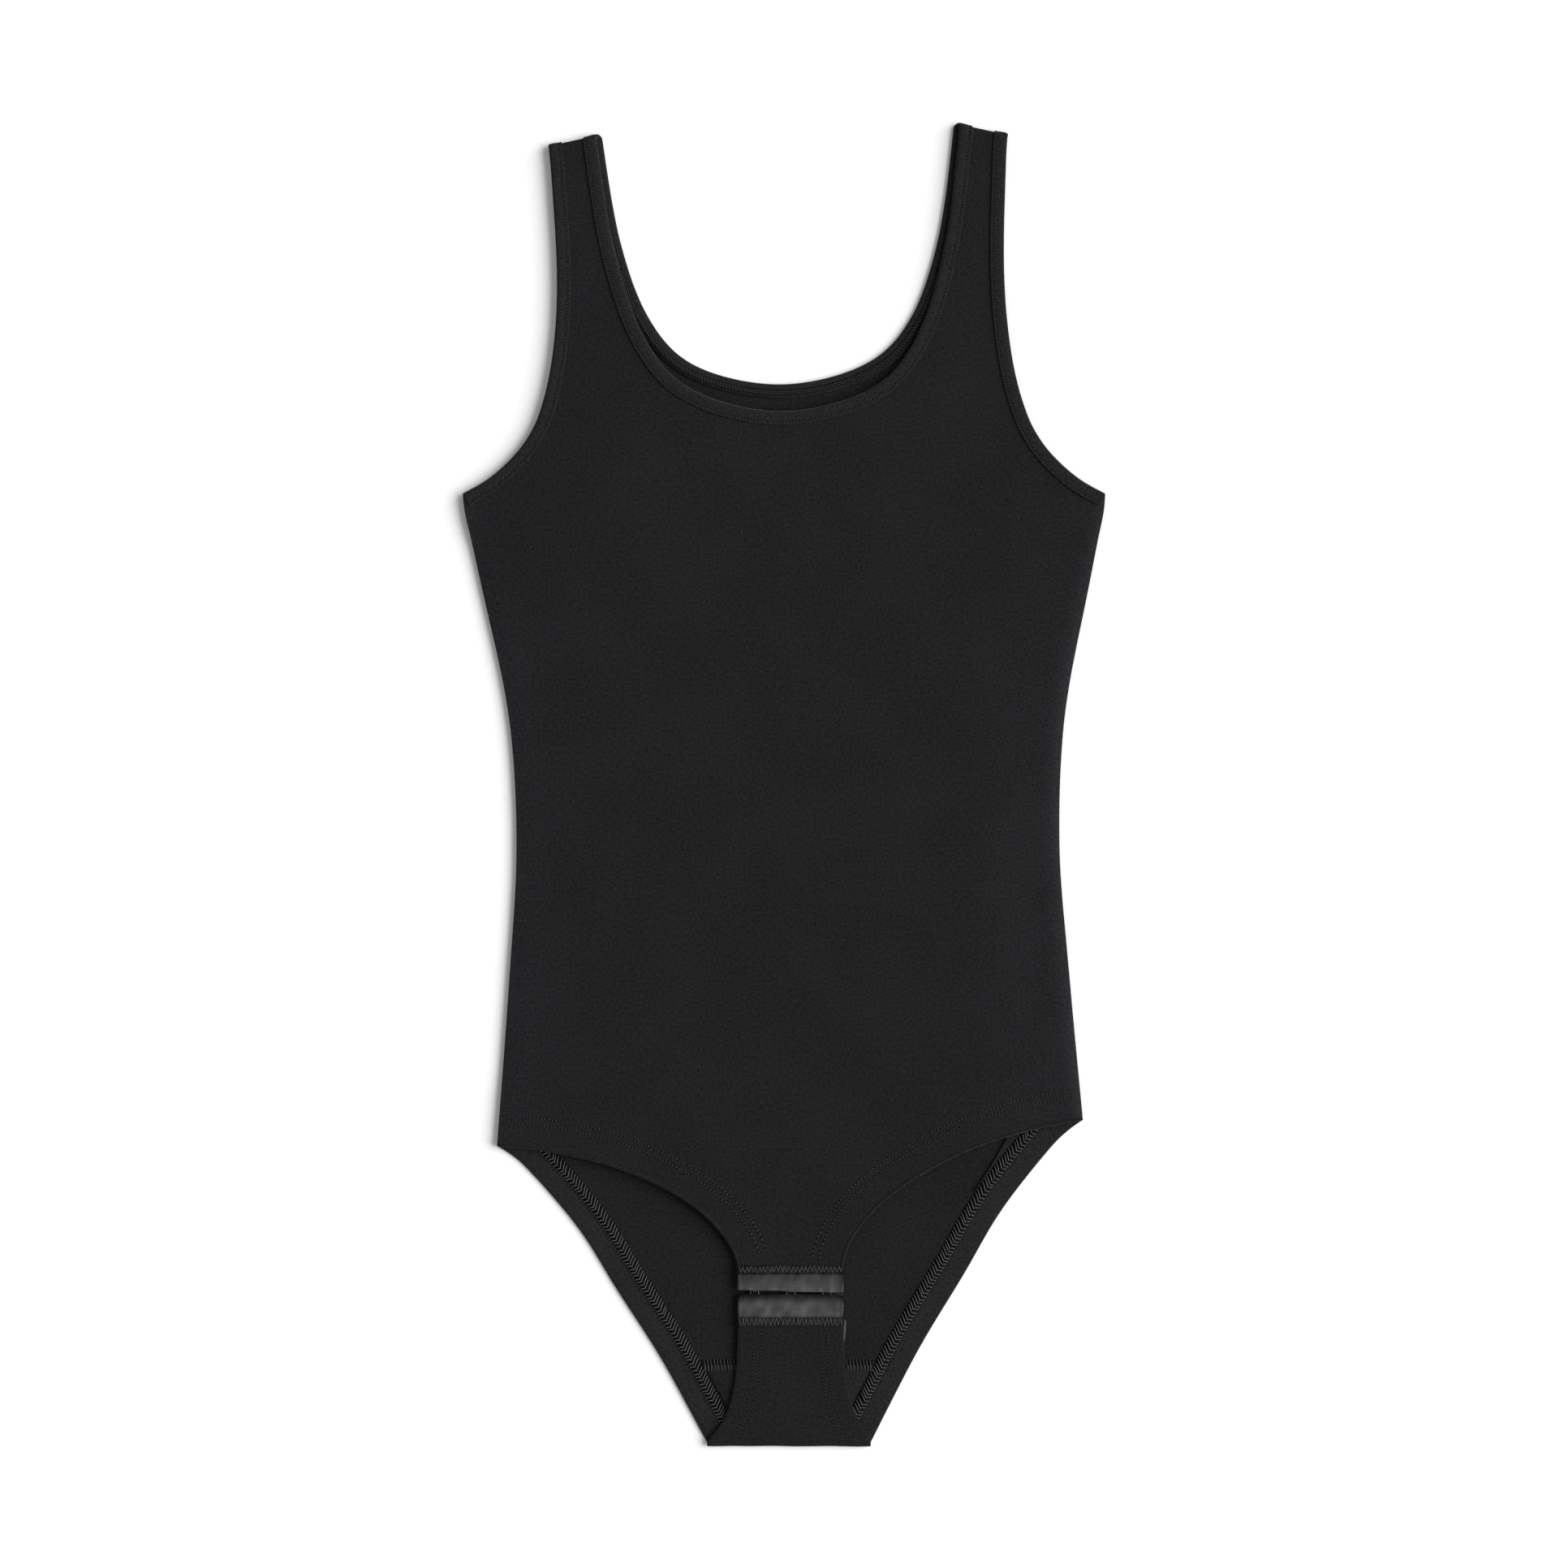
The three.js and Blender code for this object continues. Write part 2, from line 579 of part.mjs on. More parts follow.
addTape('hook_tape_face', HOOK_TAPE_TOP, HOOK_TAPE_DEPTH, FRONT_EDGE_Z + JERSEY + GAP);
addTape('hook_tape_backing', HOOK_TAPE_TOP, HOOK_TAPE_DEPTH - HOOK_POCKET, FRONT_EDGE_Z - GAP - SATIN);
addTape('eye_tape_face', eyeTapeTop, EYE_TAPE_DEPTH, GUSSET_FRONT_Z + JERSEY + GAP);
addTape('eye_tape_backing', eyeTapeTop, EYE_TAPE_DEPTH, GUSSET_INNER_Z);

const hookZ = FRONT_EDGE_Z + JERSEY / 2;
const eyeZ = GUSSET_FRONT_Z + JERSEY / 2;
const hookTapeLow = HOOK_TAPE_TOP - HOOK_TAPE_DEPTH;

// A hook, seen from the side: the shank in the tape, the round nose, and the bill under it
function hook() {
  const half = WIRE / 2;
  const bend = hookZ - eyeZ;
  const shank = tabEnd - GAP - hookTapeLow;
  const bill = shank - 2;
  const profile = new THREE.Shape();
  profile.moveTo(shank, bend + half);
  profile.lineTo(0, bend + half);
  profile.absarc(0, 0, bend + half, Math.PI / 2, -Math.PI / 2, false);
  profile.lineTo(bill, -bend - half);
  profile.lineTo(bill, -bend + half);
  profile.lineTo(0, -bend + half);
  profile.absarc(0, 0, bend - half, -Math.PI / 2, Math.PI / 2, true);
  profile.lineTo(shank, bend - half);
  const geometry = new THREE.ExtrudeGeometry(profile, { depth: HOOK_WIDTH, bevelEnabled: false, curveSegments: 6 });
  return geometry.applyMatrix4(SIDE_VIEW).translate(-HOOK_WIDTH / 2, 0, 0);
}

// An eye, seen from above: two legs in the tape, joined by the bar that the hook catches
function eye() {
  const half = EYE_WIDTH / 2;
  const corner = EYE_CORNER;
  const leg = EYE_LEG;
  const shape = new THREE.Shape();
  shape.moveTo(-half, -leg);
  shape.lineTo(-half, -corner);
  shape.absarc(-half + corner, -corner, corner, Math.PI, Math.PI / 2, true);
  shape.absarc(half - corner, -corner, corner, Math.PI / 2, 0, true);
  shape.lineTo(half, -leg);
  shape.lineTo(half - WIRE, -leg);
  shape.absarc(half - corner, -corner, corner - WIRE, 0, Math.PI / 2, false);
  shape.absarc(-half + corner, -corner, corner - WIRE, Math.PI / 2, Math.PI, false);
  shape.lineTo(-half + WIRE, -leg);
  const geometry = new THREE.ExtrudeGeometry(shape, { depth: WIRE, bevelEnabled: false, curveSegments: 4 });
  return geometry.translate(0, 0, -WIRE / 2);
}

const closures = [
  { place: -1, label: 'left' },
  { place: 0, label: 'middle' },
  { place: 1, label: 'right' },
];
for (const { place, label } of closures) {
  const x = tapeX + place * HOOK_PITCH;
  add(`hook_${label}`, toSolid(hook().translate(x, hookTapeLow, eyeZ)), steel);
  add(`eye_${label}`, toSolid(eye().translate(x, hookTapeLow + EYE_INSET + WIRE / 2, eyeZ)), steel);
}

export default leotard;
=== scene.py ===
import json
import math
import re

import bmesh
import bpy
import numpy as np
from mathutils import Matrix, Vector, noise
from mathutils.geometry import delaunay_2d_cdt


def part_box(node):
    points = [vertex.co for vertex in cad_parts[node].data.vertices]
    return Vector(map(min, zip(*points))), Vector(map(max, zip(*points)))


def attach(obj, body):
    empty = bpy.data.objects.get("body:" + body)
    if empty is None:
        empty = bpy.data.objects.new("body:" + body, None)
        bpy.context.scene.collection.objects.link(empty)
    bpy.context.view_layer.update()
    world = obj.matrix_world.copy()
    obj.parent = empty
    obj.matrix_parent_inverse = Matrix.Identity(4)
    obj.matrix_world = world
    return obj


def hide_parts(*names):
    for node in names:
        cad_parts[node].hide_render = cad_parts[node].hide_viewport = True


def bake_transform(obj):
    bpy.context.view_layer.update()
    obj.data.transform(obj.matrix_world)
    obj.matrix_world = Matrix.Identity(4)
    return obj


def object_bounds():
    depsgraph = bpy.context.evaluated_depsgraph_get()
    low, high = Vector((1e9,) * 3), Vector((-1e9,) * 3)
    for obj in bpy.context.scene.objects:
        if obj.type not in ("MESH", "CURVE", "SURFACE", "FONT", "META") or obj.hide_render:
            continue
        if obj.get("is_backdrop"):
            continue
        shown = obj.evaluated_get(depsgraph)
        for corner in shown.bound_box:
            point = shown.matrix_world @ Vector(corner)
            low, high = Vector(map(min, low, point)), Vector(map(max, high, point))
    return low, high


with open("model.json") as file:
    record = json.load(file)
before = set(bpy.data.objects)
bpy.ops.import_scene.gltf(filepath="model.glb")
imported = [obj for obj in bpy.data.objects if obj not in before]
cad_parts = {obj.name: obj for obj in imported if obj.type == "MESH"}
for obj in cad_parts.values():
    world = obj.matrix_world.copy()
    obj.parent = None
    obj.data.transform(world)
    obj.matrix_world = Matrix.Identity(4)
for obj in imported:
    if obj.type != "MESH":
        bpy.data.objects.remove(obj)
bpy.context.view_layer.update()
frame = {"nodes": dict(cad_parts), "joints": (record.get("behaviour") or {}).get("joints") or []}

MM = 0.001
SIDES = {"left": -1, "right": 1}
JOINTS = {joint["name"]: joint for joint in frame["joints"]}


# --- Lines taken from the frame

def plan_points(name):
    """The points of a CAD node as seen from above."""
    return np.array([v.co[:2] for v in frame["nodes"][name].data.vertices])


def plan_edges(*names):
    """The edges of CAD nodes as seen from above: an array of (edge, end, xy)."""
    return np.concatenate([
        plan_points(name)[np.array([e.vertices[:] for e in frame["nodes"][name].data.edges])] for name in names
    ])


def first_hit(edges, origin, direction):
    """Where a ray, seen from above, first meets the edges."""
    origin = np.asarray(origin, float)
    along = np.asarray(direction, float)
    across = np.array([-along[1], along[0]])
    near, far = edges[:, 0] - origin, edges[:, 1] - origin
    a, b = near @ across, far @ across
    crossing = a * b < 0
    share = a[crossing] / (a[crossing] - b[crossing])
    reach = (near[crossing] @ along) * (1 - share) + (far[crossing] @ along) * share
    return origin + along * reach[reach > 0].min()


def fan(edges, origin, first, last, count):
    """First hits of rays from one point, between two angles in degrees."""
    angles = np.radians(np.linspace(first, last, count))
    return np.array([first_hit(edges, origin, (math.cos(a), math.sin(a))) for a in angles])


def unit(vectors):
    return vectors / np.linalg.norm(vectors, axis=-1, keepdims=True)


def lengths(line):
    """How far along a line each of its points is."""
    return np.concatenate([[0], np.cumsum(np.linalg.norm(np.diff(line, axis=0), axis=1))])


def smooth_line(points, step=2 * MM):
    """A smooth line through the points, with new points about step apart."""
    points = np.asarray(points, float)
    knots = lengths(points)
    slopes = np.gradient(points, knots, axis=0)
    at = np.linspace(0, knots[-1], 16 * len(points))
    i = np.clip(np.searchsorted(knots, at, side="right") - 1, 0, len(knots) - 2)
    h = (knots[i + 1] - knots[i])[:, None]
    t = (at - knots[i])[:, None] / h
    fine = (
        (2 * t**3 - 3 * t**2 + 1) * points[i]
        + (t**3 - 2 * t**2 + t) * slopes[i] * h
        + (3 * t**2 - 2 * t**3) * points[i + 1]
        + (t**3 - t**2) * slopes[i + 1] * h
    )
    return spaced(fine, step)


def spaced(line, step):
    """The same line with points about step apart."""
    along = lengths(line)
    at = np.linspace(0, along[-1], max(2, round(along[-1] / step) + 1))
    return np.stack([np.interp(at, along, line[:, k]) for k in range(line.shape[1])], axis=1)


def rightward(line):
    """Unit vectors in plan to the right of a line, at each of its points."""
    along = unit(np.gradient(line, axis=0))
    return np.stack([along[:, 1], -along[:, 0]], axis=1)


def inset(line, distance, hand):
    """The line moved sideways: to its right where hand is 1, to its left where it is -1."""
    return line + hand * distance * rightward(line)


def split(line, y, up=(0, 1), origin=None):
    """The part of a line above a level, and the part below it. Both hold the point on the level."""
    up = np.asarray(up, float)
    reach = (line - (origin if origin is not None else (0, y))) @ up
    over = reach > 0
    i = int(np.argmax(over[1:] != over[:-1]))
    share = reach[i] / (reach[i] - reach[i + 1])
    cut = line[i] + share * (line[i + 1] - line[i])
    first = np.concatenate([line[: i + 1], [cut]])
    second = np.concatenate([[cut], line[i + 1 :]])
    return (first, second) if over[0] else (second, first)


def spans(name, levels):
    """The lowest and highest x of a CAD node at each level of y."""
    edges = plan_edges(name)
    found = []
    for y in levels:
        a, b = edges[:, 0, 1] - y, edges[:, 1, 1] - y
        crossing = a * b < 0
        share = a[crossing] / (a[crossing] - b[crossing])
        x = edges[crossing, 0, 0] * (1 - share) + edges[crossing, 1, 0] * share
        found.append((x.min(), x.max()))
    return np.array(found)


def x_at(line, levels):
    """The x of a line at levels of y."""
    order = np.argsort(line[:, 1])
    return np.interp(levels, line[order, 1], line[order, 0])


STRAP_FOLD_Y = JOINTS["strap_left_fold"]["pos_m"][1]
TAB_FOLD_Y = JOINTS["front_tab_lift"]["pos_m"][1]
FOLD_AXIS_Y = JOINTS["gusset_fold"]["pos_m"][1]
FOLD_AXIS_Z = JOINTS["gusset_fold"]["pos_m"][2]
GUSSET_SEAM_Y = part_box("back_panel")[0].y
HOOK_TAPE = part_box("hook_tape_face")
EYE_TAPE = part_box("eye_tape_face")
TAPE_X = (HOOK_TAPE[0].x + HOOK_TAPE[1].x) / 2
HALF_TAPE = (HOOK_TAPE[1].x - HOOK_TAPE[0].x) / 2


def shoulder_corners(label):
    """The inner and outer ends of the fold at the top of a strap."""
    points = plan_points(f"shoulder_seam_{label}")
    inner = points[points[:, 1].argmax()]
    side = SIDES[label]
    outermost = points[points[:, 0] * side > (points[:, 0] * side).max() - 0.1 * MM]
    return inner, outermost[outermost[:, 1].argmax()]


SHOULDERS = {label: shoulder_corners(label) for label in SIDES}
STRAP_MIDDLE = sum(corner[0][0] for corner in SHOULDERS.values()) / 2


def strap_rows(node_name, origin_x, direction, top):
    """Points on the edge of a strap, from its top to the strap fold."""
    edges = plan_edges(node_name)
    levels = np.linspace(top - 3 * MM, STRAP_FOLD_Y + 2 * MM, 5)
    return [first_hit(edges, (origin_x, y), (direction, 0)) for y in levels]


def neck_line(face):
    """A neck edge, from the top of the left strap down and up to the top of the right one."""
    ends = {}
    for label, side in SIDES.items():
        binding = f"strap_{face}_neck_binding_{label}"
        rows = strap_rows(binding, STRAP_MIDDLE, side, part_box(binding)[1].y - 1 * MM)
        slope = (rows[0][0] - rows[1][0]) / (rows[0][1] - rows[1][1])
        apex = SHOULDERS[label][0].copy()
        apex[0] = rows[0][0] + slope * (apex[1] - rows[0][1])
        ends[label] = [apex, *rows]
    origin = (STRAP_MIDDLE, STRAP_FOLD_Y - 2 * MM)
    bowl = fan(plan_edges(f"{face}_neck_binding"), origin, -179.5, -0.5, 25)
    return smooth_line([*ends["left"], *bowl, *ends["right"][::-1]])


def armhole_line(label):
    """An armhole edge, from the top of the strap to the armpit."""
    side = SIDES[label]
    binding = f"front_armhole_binding_{label}"
    corner_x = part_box(binding)[side > 0].x
    rows = strap_rows(f"strap_{binding}", corner_x, -side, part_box(f"front_strap_{label}")[1].y - 8 * MM)
    first, last = (0.5, -89.6) if side < 0 else (179.5, 269.6)
    origin = (corner_x - 0.05 * side * MM, STRAP_FOLD_Y - 2 * MM)
    curve = fan(plan_edges(binding), origin, first, last, 15)
    return smooth_line([SHOULDERS[label][1], *rows, *curve])


# Both lower outer corners of the front panel are further out and lower than this, and nothing is wider than OUTSIDE.
HIP_PAST = 120 * MM
OUTSIDE = 300 * MM


def hip_corner(label):
    """The lower outer corner of the front panel."""
    points = plan_points("front_panel")
    side = SIDES[label]
    near = points[(points[:, 0] * side > HIP_PAST) & (points[:, 1] < -HIP_PAST)]
    return near[(near[:, 0] * side - near[:, 1]).argmax()]


HIPS = {label: hip_corner(label) for label in SIDES}


def side_line(label, armpit):
    """The edge from an armpit to the hip."""
    side = SIDES[label]
    edges = plan_edges("front_panel")
    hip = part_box(f"front_leg_hem_{label}")[1].y - 12 * MM
    levels = np.linspace(armpit[1] - 6 * MM, hip + 2 * MM, 18)
    rows = [first_hit(edges, (side * OUTSIDE, y), (-side, 0)) for y in levels]
    return smooth_line([armpit, *rows, HIPS[label]])


def leg_line(label, panel, tail):
    """A leg edge from the hip to the crotch, seen from the outer lower corner of the leg opening."""
    side = SIDES[label]
    origin = (HIPS[label][0] - 0.5 * side * MM, FOLD_AXIS_Y + 0.2 * MM)
    if panel == "front_panel":
        last = math.degrees(math.atan2(HOOK_TAPE[1].y - origin[1], TAPE_X + side * HALF_TAPE - origin[0]))
    else:
        last = 179.8 if side > 0 else 0.2
    points = fan(plan_edges(panel, tail), origin, 90 + side * 0.6, last, 26)
    if panel == "back_panel":
        points = points[points[:, 1] > FOLD_AXIS_Y + 4 * MM]
        slope = (points[-1] - points[-3]) / (points[-1, 1] - points[-3, 1])
        points = [*points, points[-1] + slope * (FOLD_AXIS_Y - points[-1, 1])]
    return smooth_line([HIPS[label], *points])


ARMHOLES = {label: armhole_line(label) for label in SIDES}
FRONT_NECK = neck_line("front")
BACK_NECK = neck_line("back")
SIDE_EDGES = {label: side_line(label, ARMHOLES[label][-1]) for label in SIDES}
FRONT_LEGS = {label: leg_line(label, "front_panel", "front_tab") for label in SIDES}
BACK_LEGS = {label: leg_line(label, "back_panel", "gusset_back") for label in SIDES}

# --- Heights of the cloth

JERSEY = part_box("front_strap_left")[1].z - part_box("front_strap_left")[0].z
FRONT_EDGE_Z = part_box("front_strap_left")[0].z
FRONT_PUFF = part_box("front_panel")[1].z - JERSEY - FRONT_EDGE_Z
BACK_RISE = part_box("back_strap_left")[0].z
BINDING_WIDTH = 7.3 * MM
BINDING_HOLD = 0.9 * MM
SEAM_ROUND = 9 * MM
FRONT_NECK_Y = FRONT_NECK[:, 1].min()
ARMPIT_Y = max(line[-1][1] for line in ARMHOLES.values())
HIP_Y = sum(hip[1] for hip in HIPS.values()) / 2


def smooth(t):
    t = np.clip(t, 0, 1)
    return t * t * (3 - 2 * t)


def nearest(points, line):
    """The distance of each point to a line of closely spaced points."""
    return np.array([np.linalg.norm(line - p, axis=1).min() for p in points])


BODY_SIDES = np.concatenate([*ARMHOLES.values(), *SIDE_EDGES.values()])
SEAM_LINES = np.concatenate([*SIDE_EDGES.values()])

# How much paler the cloth is painted along the side seams and beside them, and over how far: a painted sheen highlight
# along the outline and the sides.
SEAM_SHEEN, SEAM_SHEEN_REACH = 0.7, 3 * MM
SIDE_SHEEN, SIDE_SHEEN_REACH = 0.16, 60 * MM


def ruffle(points, scale, seed):
    """Soft random relief between -1 and 1 for points in plan."""
    return np.array([noise.noise(Vector((x / scale, y / scale, seed))) for x, y in points])


def ruffle_along(values, scale, seed):
    """The same relief along one direction."""
    return ruffle(np.column_stack([values, 0 * values]), scale, seed)


def hump(values, at, width):
    """1 where a value is at a place, falling to nothing some two widths from it."""
    return np.exp(-(((values - at) / width) ** 2))


def side_closing(points):
    """How much of the way a panel's edge bends to the side seam: 1 on the seam, and 0 further in."""
    inward = np.clip(1 - nearest(points, SEAM_LINES) / SEAM_ROUND, 0, 1)
    arc = 1 - np.sqrt(np.clip(1 - inward**2, 0, 1))
    y = points[:, 1]
    above_hip = 0.55 + 0.45 * smooth((y - HIP_Y - 10 * MM) / (30 * MM))
    return arc * smooth((ARMPIT_Y - 12 * MM - y) / (25 * MM)) * above_hip


def front_height(points):
    """The height of the front panel's underside."""
    points = np.atleast_2d(points)
    y = points[:, 1]
    away = nearest(points, BODY_SIDES)
    puff = smooth((away - 10 * MM) / (40 * MM))
    puff *= smooth((FRONT_NECK_Y + 60 * MM - y) / (60 * MM)) * smooth((y - HOOK_TAPE[1].y) / (50 * MM))
    relief = 0.28 * MM * ruffle(points * (1, 0.55), 45 * MM, 3.1) + 0.12 * MM * ruffle(points, 16 * MM, 8.2)
    relief *= smooth((away - 9 * MM) / (30 * MM)) * smooth((nearest(points, FRONT_NECK) - 8 * MM) / (30 * MM))
    return FRONT_EDGE_Z + (FRONT_PUFF - 0.3 * MM) * puff + relief - 1.9 * MM * side_closing(points)


def back_height(points):
    """The height of the back panel's underside."""
    points = np.atleast_2d(points)
    flat_from = ARMPIT_Y - BINDING_WIDTH - 45 * MM
    return BACK_RISE * smooth((points[:, 1] - flat_from) / (35 * MM)) + 1.2 * MM * side_closing(points)


# --- Mesh builders

def add_object(name, data):
    obj = bpy.data.objects.new(name, data)
    bpy.context.scene.collection.objects.link(obj)
    return obj


def make_object(name, points, faces, uvs, material, sharp=()):
    """A smooth closed mesh. sharp lists the pairs of points that a sharp edge joins."""
    mesh = bpy.data.meshes.new(name)
    mesh.from_pydata([tuple(p) for p in points], [], [tuple(int(i) for i in f) for f in faces])
    mesh.update()
    layer = mesh.uv_layers.new(name="cloth")
    corners = np.zeros(len(mesh.loops), int)
    mesh.loops.foreach_get("vertex_index", corners)
    layer.data.foreach_set("uv", np.asarray(uvs, np.float32)[corners].ravel())
    shell = bmesh.new()
    shell.from_mesh(mesh)
    if shell.calc_volume(signed=True) < 0:
        mesh.flip_normals()
    shell.free()
    mesh.shade_smooth()
    if sharp:
        keys = {tuple(sorted(pair)) for pair in sharp}
        marks = [tuple(sorted(e.vertices)) in keys for e in mesh.edges]
        mesh.attributes.new("sharp_edge", "BOOLEAN", "EDGE").data.foreach_set("value", marks)
    mesh.materials.append(material)
    return add_object(name, mesh)


def joined(*segments):
    """One closed outline from (line, rounded) segments: its points, and 1 or 0 for each where its edge is rounded."""
    points, flags = [], []
    for line, rounded in segments:
        for p in line:
            if points and np.linalg.norm(points[-1] - p) < 0.3 * MM:
                flags[-1] = min(flags[-1], rounded)
                continue
            points.append(np.asarray(p, float))
            flags.append(rounded)
    if np.linalg.norm(points[0] - points[-1]) < 0.3 * MM:
        flags[0] = min(flags[0], flags.pop())
        points.pop()
    points, flags = np.array(points), np.array(flags, float)
    x, y = points[:, 0], points[:, 1]
    if (x * np.roll(y, -1) - y * np.roll(x, -1)).sum() < 0:
        points, flags = points[::-1], flags[::-1]
    return points, flags


def inside(points, outline):
    """Which points are inside a closed outline."""
    within = np.zeros(len(points), bool)
    for a, b in zip(outline, np.roll(outline, -1, axis=0)):
        crossed = (a[1] > points[:, 1]) != (b[1] > points[:, 1])
        if crossed.any():
            cross = a[0] + (points[crossed, 1] - a[1]) * (b[0] - a[0]) / (b[1] - a[1])
            within[crossed] ^= points[crossed, 0] < cross
    return within


def around(items):
    """Each item with the next, and the last with the first."""
    return list(zip(items, [*items[1:], items[0]]))


def rounded_rim(points, faces, upper, lower, core, outward, up, half, cut):
    """Joins the rings round the top and bottom of a sheet by a half-round rim. Returns the pairs of points on sharp
    edges, where the sheet is cut to meet the next one."""
    rings = [upper]
    for angle in np.radians((50, 0, -50)):
        rings.append(range(len(points), len(points) + len(upper)))
        points.extend(core + half * (math.cos(angle) * outward + math.sin(angle) * up))
    rings.append(lower)
    for above, below in zip(rings, rings[1:]):
        faces += [(b, a, c, d) for (a, b), (c, d) in zip(around(above), around(below))]
    return [pair for ring in (upper, lower) for pair, ends in zip(around(ring), around(cut)) if all(ends)]


def cloth(name, outline, under, material, spacing=5 * MM):
    """A sheet over a closed outline, with round edges except where it is cut to meet the next piece."""
    loop, rounded = outline
    count = len(loop)
    along = unit(np.roll(loop, -1, axis=0) - np.roll(loop, 1, axis=0))
    outward = np.stack([along[:, 1], -along[:, 0]], axis=1) * rounded[:, None]
    half = JERSEY / 2
    core = loop - outward * half
    low, high = loop.min(axis=0), loop.max(axis=0)
    rows = np.arange(low[1], high[1], spacing * 0.87)
    columns = np.arange(low[0], high[0], spacing)
    grid = np.array([(x + (k % 2) * spacing / 2, y) for k, y in enumerate(rows) for x in columns]).reshape(-1, 2)
    grid = grid[inside(grid, core)]
    grid = grid[nearest(grid, core) > 0.45 * spacing] if len(grid) else grid
    corners = [Vector(p) for p in (*core, *grid)]
    found, _, triangles, sources, _, _ = delaunay_2d_cdt(corners, [], [list(range(count))], 1, 1e-7)
    plan = np.array([tuple(v) for v in found])
    place = {old: new for new, olds in enumerate(sources) for old in olds}
    ring = [place[i] for i in range(count)]
    height = under(plan)
    total = len(plan)
    points = [*np.column_stack([plan, height + JERSEY]), *np.column_stack([plan, height])]
    faces = [*triangles, *[[total + i for i in reversed(f)] for f in triangles]]
    core = np.column_stack([core, height[ring] + half])
    outward = np.column_stack([outward, np.zeros(count)])
    up = np.array([0, 0, 1])
    sharp = rounded_rim(points, faces, ring, [total + i for i in ring], core, outward, up, half, rounded == 0)
    points = np.array(points)
    piece = make_object(name, points, faces, points[:, :2], material, sharp)
    # Painted highlight: the cloth is painted paler near the side seams and below the arms, standing in for sheen at
    # the outline.
    from_seam = nearest(points[:, :2], SEAM_LINES)
    below_arm = smooth((ARMPIT_Y - 20 * MM - points[:, 1]) / (80 * MM))
    worn = SIDE_SHEEN * below_arm * smooth(1 - from_seam / SIDE_SHEEN_REACH)
    set_painted_light(piece, worn + SEAM_SHEEN * np.exp(-from_seam / SEAM_SHEEN_REACH))
    return piece


def set_painted_light(piece, worn):
    """How much paler or darker each point of a piece is painted than its material: painted highlight and painted
    shade.
    """
    piece.data.attributes.new("worn", "FLOAT", "POINT").data.foreach_set("value", worn.astype(np.float32))


def tube(name, rings, uvs, material):
    """A closed mesh from closed rings of points, with a flat end on the first and the last."""
    rows, count = len(rings), len(rings[0])
    last = (rows - 1) * count
    faces = [
        (i + j, i + k, i + count + k, i + count + j) for i in range(0, last, count) for j, k in around(range(count))
    ]
    faces += [range(count)[::-1], range(last, last + count)]
    sharp = [(s + j, s + k) for s in (0, last) for j, k in around(range(count))]
    return make_object(name, np.reshape(rings, (-1, 3)), faces, uvs, material, sharp)


def sweep(name, line, base, section, hand, material, cut=None):
    """A closed section of (across, up) points carried along a line in plan, on the cloth's height under each point.
    cut is a plane, (point, normal) in plan, that the nearer end is brought to."""
    section = np.asarray(section, float)
    plan = np.stack([inset(line, a, hand) for a, _ in section], axis=1)
    if cut is not None:
        point, normal = cut
        end = 0 if abs((line[0] - point) @ normal) < abs((line[-1] - point) @ normal) else -1
        way = line[1] - line[0] if end == 0 else line[-1] - line[-2]
        plan[end] += np.outer(((point - plan[end]) @ normal) / (way @ normal), way)
    heights = base(plan.reshape(-1, 2)).reshape(plan.shape[:2])
    rings = np.concatenate([plan, (heights + section[:, 1])[..., None]], axis=2)
    return tube(name, rings, [(a, b) for b in lengths(line) for a in lengths(section)], material)


def cap(name, feet, shift, ups, normal, material):
    """A closed section of points on a strap's top line, turned half a turn over the top from the front to the back.
    shift is how far each point moves along the top line on the way."""
    radii = (STRAP_RADIUS + np.asarray(ups, float))[:, None]
    turn_radius = 1.9 * MM
    rings, uvs = [], []
    for angle in np.linspace(math.pi / 2, -math.pi / 2, 13):
        turned = float(smooth(0.5 - angle / math.pi))
        plan = np.array(feet) + np.array(shift) * turned + normal * radii * math.cos(angle)
        rings.append(np.column_stack([plan, STRAP_CENTRE + radii * math.sin(angle)]))
        uvs += [(a, angle * turn_radius) for a in lengths(feet)]
    return tube(name, rings, uvs, material)


def ribbon(name, middle, thickness, material, uvs=None, cut_start=False):
    """A sheet from a grid of points on its middle, with round edges, except where its first row is cut to meet
    another piece."""
    middle = np.array(middle, float)
    rows, columns = middle.shape[:2]
    half = thickness / 2
    down, over = np.gradient(middle, axis=0), np.gradient(middle, axis=1)
    normal = unit(np.cross(down, over))
    outward = np.zeros_like(middle)
    if not cut_start:
        outward[0] -= unit(down[0])
    outward[-1] += unit(down[-1])
    outward[:, 0] -= unit(over[:, 0])
    outward[:, -1] += unit(over[:, -1])
    core = middle - outward * half
    places = np.arange(rows * columns).reshape(rows, columns)
    ring = [*places[0], *places[1:, -1], *places[-1, -2::-1], *places[-2:0:-1, 0]]
    total = rows * columns
    points = [*(core + normal * half).reshape(-1, 3), *(core - normal * half).reshape(-1, 3)]
    faces = []
    for a, b, c, d in zip(*(p.ravel() for p in (places[:-1, :-1], places[:-1, 1:], places[1:, 1:], places[1:, :-1]))):
        faces += [(a, b, c, d), (total + d, total + c, total + b, total + a)]
    at_ring = [grid.reshape(-1, 3)[ring] for grid in (core, outward, normal)]
    cut = [cut_start and i < columns for i in ring]
    sharp = rounded_rim(points, faces, ring, [total + i for i in ring], *at_ring, half, cut)
    flat = np.reshape(middle[..., :2] if uvs is None else uvs, (-1, 2))
    return make_object(name, points, faces, [*flat, *flat, *flat[ring], *flat[ring], *flat[ring]], material, sharp)


